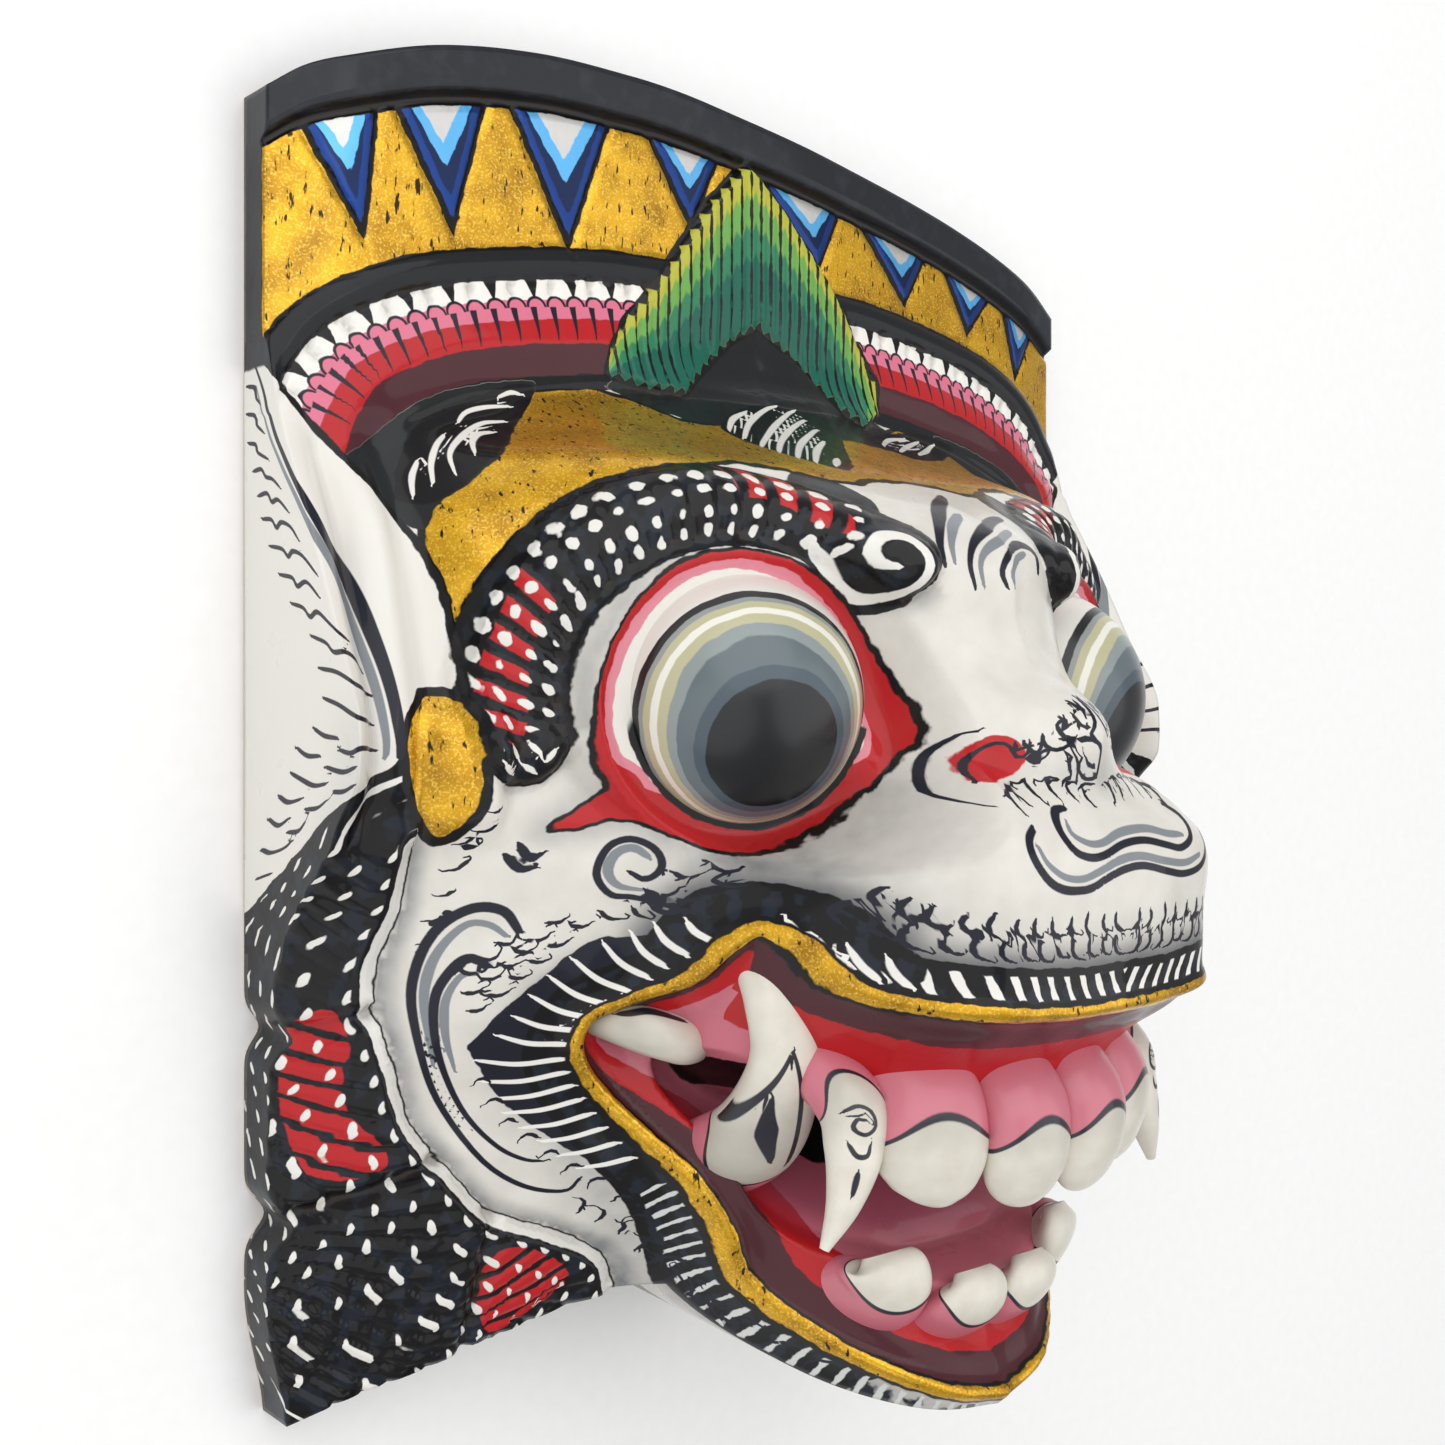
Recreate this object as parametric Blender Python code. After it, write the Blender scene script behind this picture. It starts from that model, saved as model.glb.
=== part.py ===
"""Hanuman mask: one carved wooden wall mask, lying on its flat back with its face up.

Axes: +Z out of the face, +Y towards the crown, +X to the viewer's right. The back rim lies on z = 0.
Sizes below are millimetres, and MM turns them into metres when a mesh is made.
"""

import math

import bmesh
import bpy
import numpy as np
from mathutils import Matrix, Vector

MM = 0.001

# Driving sizes of the block.
HALF_WIDTH = 101.0
CROWN_TOP = 119.4
CHIN_LOW = 119.3
CENTRE_Y = -0.16
WALL = 12.0
RIM_WIDTH = 7.8
RIM_RAISE = 1.6
COLUMNS = 50
ROW_GAP = 3.8
CROWN_ROW_GAP = 7.0

# The hollow carved in the back: half sizes, centre and depth.
HOLLOW_HALF_X = 74.0
HOLLOW_HALF_Y = 74.0
HOLLOW_Y = -13.0
HOLLOW_DEPTH = 60.0

# Eyes.
EYE = (38.5, 2.0, 55.7)
EYE_RADIUS = 21.5
LID_CENTRE = (42.5, 2.0)
LID_RADIUS = 24.6
BROW_RADIUS = 32.6
BROW_HALF = 6.4
CURL = (22.8, 24.2)

# Heights of the face over the back, at stations across (distance from the middle) and along y.
ACROSS = [0, 14, 28, 38, 46, 54, 64, 76, 88, 101]
HEIGHTS = {
    -124: [77, 71, 50, 30, 22, 18, 15, 12, 8, 5],
    -110: [85, 80, 63, 41, 28, 23, 20, 17, 11, 5],
    -95: [91, 87, 74, 53, 39, 31, 27, 22, 15, 6],
    -80: [96, 93, 82, 65, 50, 40, 33, 27, 19, 6],
    -65: [101, 98.5, 90, 75, 58, 46, 38, 31, 23, 7],
    -50: [105, 104, 100, 84, 65, 51, 44, 37, 28, 8],
    -35: [107.3, 106.5, 102, 88, 71, 57, 49, 41, 31, 14],
    -20: [106, 105.5, 100.5, 85, 68, 58, 51, 43, 33, 30],
    -10: [98, 95, 84, 68, 60, 54, 49, 42, 34, 40],
    0: [88, 85, 75, 62, 57, 53, 48, 40, 33, 40],
    15: [84, 80, 70, 60, 56, 53, 47, 38, 29, 32],
    30: [80, 76, 66, 58, 55, 51, 45, 35, 24, 24],
    42: [56, 55, 53, 51, 49, 45, 35, 24, 17, 17],
    50: [38, 37, 34, 32, 30, 26, 20, 16, 13, 12],
    58: [24, 23, 20, 18, 16.5, 15, 13.5, 12, 10.5, 8.5],
    66: [15, 15, 14.5, 14, 13.5, 13, 12, 11, 10, 7.5],
    80: [14, 14, 13.5, 13, 12.5, 12, 11.5, 11, 10, 7.5],
    100: [14, 14, 13.5, 13, 12.5, 12, 11.5, 11, 10, 7.5],
    120: [14, 14, 13.5, 13, 12.5, 12, 11.5, 11, 10, 8],
}

# How far the crown's top edge falls under CROWN_TOP, at stations from left to right.
CROWN_ACROSS = [-101, -95, -86, -70, -50, -30, 0, 30, 60, 80, 92, 101]
CROWN_FALL = [-15.2, -11.0, -7.4, -2.4, 0.5, 0.6, -2.2, -6.6, -11.9, -17.4, -21.8, -26.6]

# The rim of the lips seen from the front, left half from the top of the middle to the bottom.
LIP = [
    (0, -47.3), (-13, -47.2), (-27, -46), (-35, -44.9), (-40, -42.5), (-43.5, -36.5), (-46.5, -34.5),
    (-49, -38), (-51.5, -44), (-57, -47.9), (-61.5, -50.5), (-62.5, -55), (-60.5, -60), (-56, -66),
    (-51, -72), (-46, -78), (-43, -83), (-40, -89), (-37.5, -95), (-34, -100), (-29, -105),
    (-22.7, -109.4), (-14.8, -113.3), (-6.1, -116), (0, -116.8),
]

# The edge of the gums, in the same order.
PIT = [
    (0, -67), (-16, -67), (-30, -64.5), (-37, -60), (-43, -56), (-49, -57), (-49, -63), (-45, -70),
    (-41, -77), (-37, -85), (-31, -91), (-20, -95), (-10, -97.5), (0, -98),
]


def hermite(stations, values, at):
    """Smooth curve through values at rising stations. Rows of values are blended whole."""
    stations = np.asarray(stations, float)
    values = np.asarray(values, float)
    gap = np.diff(stations)
    rise = np.diff(values, axis=0) / gap.reshape((-1,) + (1,) * (values.ndim - 1))
    slope = np.empty_like(values)
    slope[0], slope[-1] = rise[0], rise[-1]
    slope[1:-1] = (rise[1:] + rise[:-1]) / 2
    turn = rise[1:] * rise[:-1] <= 0
    slope[1:-1][turn] *= 0.3
    at = np.clip(at, stations[0], stations[-1])
    i = np.clip(np.searchsorted(stations, at, side="right") - 1, 0, len(gap) - 1)
    t = (at - stations[i]) / gap[i]
    return i, t, gap, slope, values


def blend(stations, values, at):
    i, t, gap, slope, values = hermite(stations, values, at)
    a = values[i] * (2 * t**3 - 3 * t**2 + 1) + values[i + 1] * (3 * t**2 - 2 * t**3)
    return a + gap[i] * (slope[i] * (t**3 - 2 * t**2 + t) + slope[i + 1] * (t**3 - t**2))


def blend_rows(stations, rows, at):
    """As blend, where each station has one value for each point."""
    i, t, gap, slope, rows = hermite(stations, rows.reshape(len(rows), -1), at.ravel())
    n = np.arange(rows.shape[1])
    a = rows[i, n] * (2 * t**3 - 3 * t**2 + 1) + rows[i + 1, n] * (3 * t**2 - 2 * t**3)
    a = a + gap[i] * (slope[i, n] * (t**3 - 2 * t**2 + t) + slope[i + 1, n] * (t**3 - t**2))
    return a.reshape(at.shape)


def smooth(low, high, value):
    t = np.clip((value - low) / (high - low), 0, 1)
    return t * t * (3 - 2 * t)


def rounded(points, per_span=5):
    """A closer polyline through points, by Catmull-Rom."""
    p = np.asarray(points, float)
    ends = np.vstack([2 * p[0] - p[1], p, 2 * p[-1] - p[-2]])
    out = []
    for a, b, c, d in zip(ends, ends[1:], ends[2:], ends[3:]):
        for k in range(per_span):
            t = k / per_span
            out.append(
                (2 * b + (c - a) * t + (2 * a - 5 * b + 4 * c - d) * t**2 + (3 * b - 3 * c + d - a) * t**3) / 2
            )
    out.append(p[-1])
    return np.array(out)


def distance(line, x, y):
    """Distance from each point to a polyline, and the length along it of the nearest place."""
    best = np.full(x.shape, 1e9)
    along = np.zeros(x.shape)
    start = 0.0
    for (ax, ay), (bx, by) in zip(line, line[1:]):
        dx, dy = bx - ax, by - ay
        length = math.hypot(dx, dy) or 1e-9
        t = np.clip(((x - ax) * dx + (y - ay) * dy) / length**2, 0, 1)
        d = np.hypot(x - ax - t * dx, y - ay - t * dy)
        nearer = d < best
        best = np.where(nearer, d, best)
        along = np.where(nearer, start + t * length, along)
        start += length
    return best, along


def inside(line, x, y):
    """True within a closed polyline."""
    found = np.zeros(x.shape, bool)
    for (ax, ay), (bx, by) in zip(line, np.roll(line, -1, axis=0)):
        crosses = (ay > y) != (by > y)
        reach = (bx - ax) * (y - ay) / ((by - ay) or 1e-9) + ax
        found ^= crosses & (x < reach)
    return found


LIP_LEFT = rounded(LIP)
LIP_LOOP = np.vstack([LIP_LEFT, (LIP_LEFT * [-1, 1])[-2:0:-1]])
PIT_LEFT = rounded(PIT)
PIT_LOOP = np.vstack([PIT_LEFT, (PIT_LEFT * [-1, 1])[-2:0:-1]])


def crown_top(x):
    """The hand-cut top edge falls a little further to the viewer's right."""
    return CROWN_TOP + blend(CROWN_ACROSS, CROWN_FALL, x)


def chin_low(x):
    a = np.abs(x)
    jaw = -CHIN_LOW + 0.0052 * a**2 + 0.0000035 * a**4
    beard = -99.5 - 0.345 * np.maximum(a - 42, 0)
    return np.minimum(jaw, beard)


def half_width(y):
    """Side outline, with the two notches between the locks of the beard and the narrowed end."""
    notch = 2.6 * np.exp(-((y + 54) / 3.0) ** 2) + 3.6 * np.exp(-((y + 86) / 3.5) ** 2)
    return HALF_WIDTH - notch - 3.5 * smooth(-98, -122, y)


def base_height(x, y):
    a = np.abs(x)
    rows = np.array([blend(ACROSS, HEIGHTS[k], a) for k in HEIGHTS])
    return blend_rows(list(HEIGHTS), rows, y)


def brow_line():
    """Centre of a brow: round the eye, from beside the ear drop to the curl over the nose."""
    turn = [(math.radians(k)) for k in range(201, 44, -9)]
    return np.array(
        [(-LID_CENTRE[0] + BROW_RADIUS * math.cos(k), LID_CENTRE[1] + BROW_RADIUS * math.sin(k)) for k in turn]
    )


def relief(x, y):
    """Height of the carved face over the back plane."""
    a = np.abs(x)
    z = base_height(x, y)

    # Raised rim along the crown's edge, with a groove under it.
    edge = crown_top(x) - y
    z = z + RIM_RAISE * (1 - smooth(RIM_WIDTH - 1, RIM_WIDTH + 0.6, edge))
    z = z - 0.9 * np.exp(-((edge - RIM_WIDTH - 1.6) / 1.0) ** 2)

    # Garland over the forehead, with a raised cord above it and a groove under it.
    r = np.hypot(a / 98.0, (y - 40) / 46.0)
    far = (r - 1) * 44
    over = smooth(40, 48, y) * smooth(18, 30, a)
    z = z + over * (1.6 * np.exp(-(far / 1.7) ** 2) + 2.4 * np.exp(-((far + 12) / 6.0) ** 2))

    # Leaf over the brow.
    leaf = 108 - y - 1.22 * a
    foot = (y - 77.4) + 0.48 * a
    z = z + 2.6 * smooth(-1, 1.2, leaf) * smooth(-1, 1.2, np.where(y > 77.4, 9, foot)) * smooth(60, 64, y)

    # Ear: a fold behind the ridge, then a rounded inner leaf.
    ear = smooth(58, 30, y) * smooth(-30, -12, y)
    z = z - 2.2 * ear * np.exp(-((a - 96.0) / 1.8) ** 2)
    z = z + 3.0 * ear * np.exp(-((a - 90.0) / 3.6) ** 2)

    # Ear drop.
    z = z + 5.5 * np.exp(-(((a - 82) / 5.0) ** 4) - ((y + 9.5) / 11.0) ** 4)

    # Brow.
    d, s = distance(BROW, -a, y)
    z = z + 4.6 * np.sqrt(np.clip(1 - (d / BROW_HALF) ** 2, 0, 1))
    d = np.hypot(a - CURL[0], y - CURL[1])
    z = z + 3.0 * np.sqrt(np.clip(1 - (d / 6.6) ** 2, 0, 1))

    # Eyelid, a ring that leans outwards.
    ex, ey = a - LID_CENTRE[0], y - LID_CENTRE[1]
    d = np.hypot(ex / 0.96, ey)
    lid = 61.0 - 0.36 * ex
    z = np.where(d < LID_RADIUS + 4, z + (lid - z) * smooth(LID_RADIUS + 4, LID_RADIUS - 1, d), z)
    z = z + 1.6 * np.exp(-((d - LID_RADIUS) / 1.5) ** 2)

    # Nose: tip, wings and nostrils.
    z = z + 12.5 * np.exp(-((a / 13.0) ** 2) - ((y + 1.0) / 7.5) ** 2)
    z = z + 6.5 * np.exp(-(((a - 23.5) / 6.0) ** 2) - ((y + 8.5) / 6.5) ** 2)
    z = z - 4.0 * np.exp(-(((a - 17) / 4.5) ** 2) - ((y + 8.0) / 3.6) ** 2)

    # Beard: three locks on the side and one under the cheek, set off from the face by a step.
    d, s = distance(BEARD, -a, y)
    out = inside(BEARD_AREA, -a, y)
    z = z + np.where(out, 3.6 * smooth(0, 3.5, d), 0)
    for ny in (-54, -86):
        z = z - np.where(out, 3.0 * np.exp(-((y - ny + 0.35 * (HALF_WIDTH - a)) / 2.4) ** 2), 0)

    # Mouth: the lips turn in from their rim to the gums, and a pit opens between the gums.
    d, s = distance(LIP_LEFT, -a, y)
    lips = inside(LIP_LOOP, x, y)
    z = z + 1.4 * np.exp(-(d / 2.0) ** 2)
    z = np.where(lips, z - 3.0 * smooth(0, 3, d) - 7.0 * smooth(2, 11, d), z)
    d, s = distance(PIT_LEFT, -a, y)
    floor = 50.0 + 17.0 * smooth(-66, -94, y) - 10.0 * smooth(10, 50, a)
    return np.where(inside(PIT_LOOP, x, y), z + (np.minimum(floor, z) - z) * smooth(0, 4, d), z)


BROW = brow_line()
BEARD = rounded(
    [(-88, -22), (-87.5, -32), (-88.5, -42), (-87.5, -53), (-83, -66), (-74, -76), (-64, -84), (-54, -93), (-46, -104)]
)
BEARD_AREA = np.vstack([BEARD, [(-46, -140), (-110, -140), (-110, -22)]])


def material(name, colour, roughness):
    found = bpy.data.materials.new(name)
    found.use_nodes = True
    shader = found.node_tree.nodes["Principled BSDF"]
    shader.inputs["Base Color"].default_value = (*colour, 1)
    shader.inputs["Roughness"].default_value = roughness
    return found


def add_object(name, points, faces, slot=None):
    mesh = bpy.data.meshes.new(name)
    shifted = [(px * MM, (py + CENTRE_Y) * MM, pz * MM) for px, py, pz in points]
    mesh.from_pydata(shifted, [], faces)
    mesh.validate()
    edit = bmesh.new()
    edit.from_mesh(mesh)
    bmesh.ops.recalc_face_normals(edit, faces=edit.faces)
    edit.to_mesh(mesh)
    edit.free()
    obj = bpy.data.objects.new(name, mesh)
    bpy.context.scene.collection.objects.link(obj)
    if slot:
        mesh.materials.append(slot)
    return obj


def row_places():
    """Shares of the height for the rows: close over the face, wide over the crown, close at its rim."""
    tall = CROWN_TOP + CHIN_LOW
    face = np.arange(0, CHIN_LOW + 64, ROW_GAP)
    crown = np.arange(face[-1] + CROWN_ROW_GAP, tall - 12, CROWN_ROW_GAP)
    rim = tall - np.array([8.0, 6.0, 4.6, 0.0])
    return np.concatenate([face, crown, rim]) / tall


def face_grid():
    """Points of the carved face, closer together over the cheeks and the corners of the mouth."""
    u = np.linspace(-1, 1, COLUMNS + 1)
    s, t = np.meshgrid(u + 0.03 * np.sin(2 * np.pi * u), row_places())
    x = s * HALF_WIDTH
    y = chin_low(x) + t * (crown_top(x) - chin_low(x))
    x = s * half_width(y)
    return x, y, relief(x, y)


def block():
    """The block: carved face, side walls that draw in a little to the back, and the flat back."""
    x, y, z = face_grid()
    rows, columns = x.shape
    points = [tuple(p) for p in np.stack([x, y, z], axis=-1).reshape(-1, 3)]
    number = np.arange(rows * columns).reshape(rows, columns)
    faces = []
    for r in range(rows - 1):
        for c in range(columns - 1):
            low, right, high, left = number[r, c], number[r, c + 1], number[r + 1, c + 1], number[r + 1, c]
            # Each pair of triangles meets along the more level diagonal, so that edges follow the carving.
            if abs(z[r, c] - z[r + 1, c + 1]) < abs(z[r, c + 1] - z[r + 1, c]):
                faces += [(low, right, high), (low, high, left)]
            else:
                faces += [(low, right, left), (right, high, left)]
    loop = [*number[0, :-1], *number[:-1, -1], *number[-1, :0:-1], *number[:0:-1, 0]]
    below = []
    for k in loop:
        px, py, pz = points[k]
        tuck = 0.10 * max(0.0, pz - 30) if py < -90 else 0.0
        below.append(len(points))
        points.append((px * (1 - 0.002 * tuck), py + tuck, 0.0))
    for k in range(len(loop)):
        nxt = (k + 1) % len(loop)
        faces.append((loop[k], below[k], below[nxt], loop[nxt]))
    faces.append(tuple(below))
    return add_object("mask", points, faces, material("painted_wood", (0.72, 0.70, 0.66), 0.35))


def hollow():
    """Cutter for the back: a dome that never comes nearer than WALL to the face."""
    rings, around = 12, 38
    points = []
    faces = []
    turn = np.linspace(0, 2 * np.pi, around, endpoint=False)
    power = 2 / 2.6
    cx = np.sign(np.cos(turn)) * np.abs(np.cos(turn)) ** power * HOLLOW_HALF_X
    cy = np.sign(np.sin(turn)) * np.abs(np.sin(turn)) ** power * HOLLOW_HALF_Y + HOLLOW_Y
    points += [(px, py, -6.0) for px, py in zip(cx, cy)]
    for k in range(rings):
        share = math.cos(0.5 * math.pi * k / rings)
        px, py = cx * share, (cy - HOLLOW_Y) * share + HOLLOW_Y
        dome = HOLLOW_DEPTH * (1 - share**2.6) ** (1 / 2.6)
        pz = np.clip(np.minimum(dome, inner_limit(px, py)), 0.0, None) + 0.02 * k
        points += [tuple(p) for p in np.stack([px, py, pz], axis=-1)]
    points.append((0, HOLLOW_Y, HOLLOW_DEPTH))
    for ring in range(rings):
        for k in range(around):
            nxt = (k + 1) % around
            faces.append((ring * around + k, ring * around + nxt, (ring + 1) * around + nxt, (ring + 1) * around + k))
    last = rings * around
    faces += [(last + k, last + (k + 1) % around, len(points) - 1) for k in range(around)]
    faces.append(tuple(range(around)))
    cutter = add_object("hollow_cutter", points, faces)
    cutter.hide_render = True
    cutter.display_type = "WIRE"
    return cutter


def inner_limit(px, py):
    """Lowest carved height round each place, less the wall."""
    low = relief(px, py)
    for dx, dy in ((7, 0), (-7, 0), (0, 7), (0, -7)):
        low = np.minimum(low, relief(px + dx, py + dy) + 2)
    return low - WALL


def ball(centre, radius, stretch=(1, 1, 1), lean=None, segments=20, rings=12):
    """Points and faces of a closed ball, stretched and then turned by the matrix lean."""
    points = [(0, 0, radius * stretch[2])]
    for r in range(1, rings):
        polar = math.pi * r / rings
        for k in range(segments):
            turn = 2 * math.pi * k / segments
            points.append(
                (
                    radius * stretch[0] * math.sin(polar) * math.cos(turn),
                    radius * stretch[1] * math.sin(polar) * math.sin(turn),
                    radius * stretch[2] * math.cos(polar),
                )
            )
    points.append((0, 0, -radius * stretch[2]))
    faces = [(0, 1 + k, 1 + (k + 1) % segments) for k in range(segments)]
    for r in range(rings - 2):
        for k in range(segments):
            a, b = 1 + r * segments + k, 1 + r * segments + (k + 1) % segments
            faces.append((a, a + segments, b + segments, b))
    end = len(points) - 1
    base = 1 + (rings - 2) * segments
    faces += [(base + (k + 1) % segments, base + k, end) for k in range(segments)]
    turned = [(lean or Matrix.Identity(3)) @ Vector(p) + Vector(centre) for p in points]
    return [tuple(p) for p in turned], faces


def horn(path, widths, depths, lean, segments=9):
    """A closed tooth along a path: an oval at each station, half width across and half depth."""
    points, faces = [], []
    path = [Vector(p) for p in path]
    for i, place in enumerate(path):
        ahead = (path[min(i + 1, len(path) - 1)] - path[max(i - 1, 0)]).normalized()
        front = Vector((lean, 0, 1)).normalized()
        out = (front - ahead * ahead.dot(front)).normalized()
        side = ahead.cross(out)
        for k in range(segments):
            turn = 2 * math.pi * k / segments
            points.append(tuple(place + side * (widths[i] * math.cos(turn)) + out * (depths[i] * math.sin(turn))))
    for i in range(len(path) - 1):
        for k in range(segments):
            nxt = (k + 1) % segments
            faces.append((i * segments + k, i * segments + nxt, (i + 1) * segments + nxt, (i + 1) * segments + k))
    faces.append(tuple(range(segments)))
    faces.append(tuple(range((len(path) - 1) * segments, len(path) * segments)))
    return points, faces


# Teeth of the viewer's left half: path from root to tip, half widths, half depths, and how far the
# front of the tooth leans to the side.
TEETH = {
    "tusk": (
        [(-38, -78, 47), (-38.5, -71, 60), (-39, -62, 67), (-39.8, -54, 69.5), (-41.5, -46, 68), (-43, -39.5, 63)],
        [8.2, 8.2, 6.8, 5.8, 4.8, 2.6],
        [5.0, 5.2, 5.0, 4.8, 4.0, 2.4],
        -0.5,
    ),
    "fang": (
        [(-34.5, -55, 66), (-35, -62, 79), (-36, -69, 81.5), (-38.5, -76.5, 82), (-42, -84, 81)],
        [5.2, 5.6, 4.9, 3.1, 0.8],
        [5.0, 5.0, 4.2, 2.8, 0.9],
        -0.5,
    ),
    "upper_side": (
        [(-24, -56, 78), (-24, -63, 85.5), (-24, -69, 87), (-24, -74, 86.5), (-24, -77, 85.5), (-24, -78.5, 84.5)],
        [9.0, 9.6, 9.6, 8.6, 6.2, 3.0],
        [5.5, 5.6, 5.2, 4.2, 3.0, 1.4],
        -0.5,
    ),
    "upper_front": (
        [(-7.9, -56, 84), (-7.9, -64, 92), (-7.9, -71, 93), (-7.9, -76, 92), (-7.9, -79, 91), (-7.9, -80.5, 90)],
        [8.0, 8.4, 8.4, 7.6, 5.6, 2.8],
        [5.5, 5.6, 5.2, 4.2, 3.0, 1.4],
        -0.12,
    ),
    "lower_side": (
        [(-21.5, -104, 58), (-21.5, -100, 66), (-21.5, -96.5, 73), (-21.5, -93, 75.5), (-21.5, -90.3, 74.5)],
        [8.2, 8.8, 8.6, 7.0, 4.4],
        [4.5, 4.6, 4.0, 3.0, 1.8],
        -0.45,
    ),
    "lower_front": (
        [(-7, -109, 62), (-7, -104.5, 72), (-7, -100.8, 79), (-7, -97, 81.5), (-7, -94.5, 80.5)],
        [7.2, 7.6, 7.5, 6.2, 3.8],
        [4.5, 4.6, 4.0, 3.0, 1.8],
        -0.1,
    ),
    "cheek_tooth": (
        [(-58, -51, 40), (-53.5, -52.8, 49.5), (-47.5, -55, 51.5), (-42, -57, 49), (-39, -58, 46)],
        [3.0, 3.9, 4.0, 3.0, 1.4],
        [2.8, 3.6, 3.6, 2.8, 1.4],
        -0.3,
    ),
}


def add_boolean(target, tool, operation):
    step = target.modifiers.new(tool.name, "BOOLEAN")
    step.operation = operation
    step.object = tool
    step.solver = "EXACT"
    tool.hide_render = True
    tool.display_type = "WIRE"


def build():
    for obj in list(bpy.data.objects):
        bpy.data.objects.remove(obj, do_unlink=True)
    mask = block()
    add_boolean(mask, hollow(), "DIFFERENCE")
    for side in (-1, 1):
        centre = (side * EYE[0], EYE[1], EYE[2])
        eyeball = add_object(f"eyeball_{side}", *ball(centre, EYE_RADIUS))
        add_boolean(mask, eyeball, "UNION")
        for name, (path, widths, depths, lean) in TEETH.items():
            mirrored = [(-side * px, py, pz) for px, py, pz in path]
            tooth = add_object(f"{name}_{side}", *horn(mirrored, widths, depths, -side * lean))
            add_boolean(mask, tooth, "UNION")
    for polygon in mask.data.polygons:
        polygon.use_smooth = True


build()
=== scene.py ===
# %% Frame
# %% [markdown]
# # A carved and painted monkey mask
# The mask is one block of light wood, carved, painted and varnished. It is remade here piece by piece:
# the carved block first, then its eyeballs and teeth, which are cut from the same block but are easier
# to shape and paint on their own. The solid model gives the size and the place of everything.

# %% Start from the solid model
import math

import bmesh
import bpy
import numpy as np
from mathutils import Matrix, Vector


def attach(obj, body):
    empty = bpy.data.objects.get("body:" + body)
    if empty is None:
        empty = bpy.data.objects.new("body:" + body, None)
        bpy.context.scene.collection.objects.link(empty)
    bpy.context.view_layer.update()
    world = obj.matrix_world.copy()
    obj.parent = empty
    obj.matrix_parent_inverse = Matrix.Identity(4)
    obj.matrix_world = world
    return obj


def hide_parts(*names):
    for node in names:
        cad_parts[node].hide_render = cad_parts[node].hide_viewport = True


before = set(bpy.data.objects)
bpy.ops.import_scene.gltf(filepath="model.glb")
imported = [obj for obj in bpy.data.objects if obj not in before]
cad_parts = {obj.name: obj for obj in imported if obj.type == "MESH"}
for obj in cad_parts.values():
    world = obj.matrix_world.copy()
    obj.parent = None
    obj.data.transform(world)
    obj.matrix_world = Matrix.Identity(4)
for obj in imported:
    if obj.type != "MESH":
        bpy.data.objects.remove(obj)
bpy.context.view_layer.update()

# %% [markdown]
# ## Sizes
# All sizes are millimetres. The mask lies on its back: x runs across the face, y up to the crown and z
# out of the face. MM turns a size into metres when a mesh is made.

# %% Main sizes
MM = 0.001
HALF_WIDTH = 101.0
CROWN_TOP = 119.4
CHIN_LOW = 119.3
SHIFT_Y = -0.16
WALL = 12.0
RIM_WIDTH = 7.8
EYE = (38.5, 2.0, 55.7)
EYE_RADIUS = 21.5
LID_CENTRE = (42.5, 2.0)
LID_RADIUS = 24.6
BROW_RADIUS = 32.6
BROW_HALF = 7.0
CURL = (22.8, 24.2)
CROWN_BAND = 9.6
SCALLOP_PITCH = 8.6
VEIN_PITCH = 2.9
BROW_RIB = 4.3
BEARD_RIB = 4.6
BEARD_NOTCHES = (-54.0, -86.0)
ACROSS = [0, 14, 28, 38, 46, 54, 64, 76, 88, 101]
HEIGHTS = {
    -124: [77, 71, 50, 30, 22, 18, 15, 12, 8, 5],
    -110: [85, 80, 63, 41, 28, 23, 20, 17, 11, 5],
    -95: [91, 87, 74, 53, 39, 31, 27, 22, 15, 6],
    -80: [96, 93, 82, 65, 50, 40, 33, 27, 19, 6],
    -65: [101, 98.5, 90, 75, 58, 46, 38, 31, 23, 7],
    -50: [105, 104, 100, 84, 65, 51, 44, 37, 28, 8],
    -35: [107.3, 106.5, 102, 88, 71, 57, 49, 41, 31, 14],
    -20: [106, 105.5, 100.5, 85, 68, 58, 51, 43, 33, 30],
    -10: [98, 95, 84, 68, 60, 54, 49, 42, 34, 40],
    0: [88, 85, 75, 62, 57, 53, 48, 40, 33, 40],
    15: [84, 80, 70, 60, 56, 53, 47, 38, 29, 32],
    30: [80, 76, 66, 58, 55, 51, 45, 35, 24, 24],
    42: [56, 55, 53, 51, 49, 45, 35, 24, 17, 17],
    50: [38, 37, 34, 32, 30, 26, 20, 16, 13, 12],
    58: [24, 23, 20, 18, 16.5, 15, 13.5, 12, 10.5, 8.5],
    66: [15, 15, 14.5, 14, 13.5, 13, 12, 11, 10, 7.5],
    80: [14, 14, 13.5, 13, 12.5, 12, 11.5, 11, 10, 7.5],
    100: [14, 14, 13.5, 13, 12.5, 12, 11.5, 11, 10, 7.5],
    120: [14, 14, 13.5, 13, 12.5, 12, 11.5, 11, 10, 8],
}
CROWN_ACROSS = [-101, -95, -86, -70, -50, -30, 0, 30, 60, 80, 92, 101]
CROWN_FALL = [-15.2, -11.0, -7.4, -2.4, 0.5, 0.6, -2.2, -6.6, -11.9, -17.4, -21.8, -26.6]
LIP = [
    (0, -47.3), (-13, -47.2), (-27, -46), (-35, -44.9), (-40, -42.5), (-43.5, -36.5), (-46.5, -34.5),
    (-49, -38), (-51.5, -44), (-57, -47.9), (-61.5, -50.5), (-62.5, -55), (-60.5, -60), (-56, -66),
    (-51, -72), (-46, -78), (-43, -83), (-40, -89), (-37.5, -95), (-34, -100), (-29, -105), (-22.7, -109.4),
    (-14.8, -113.3), (-6.1, -116), (0, -116.8),
]
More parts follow.
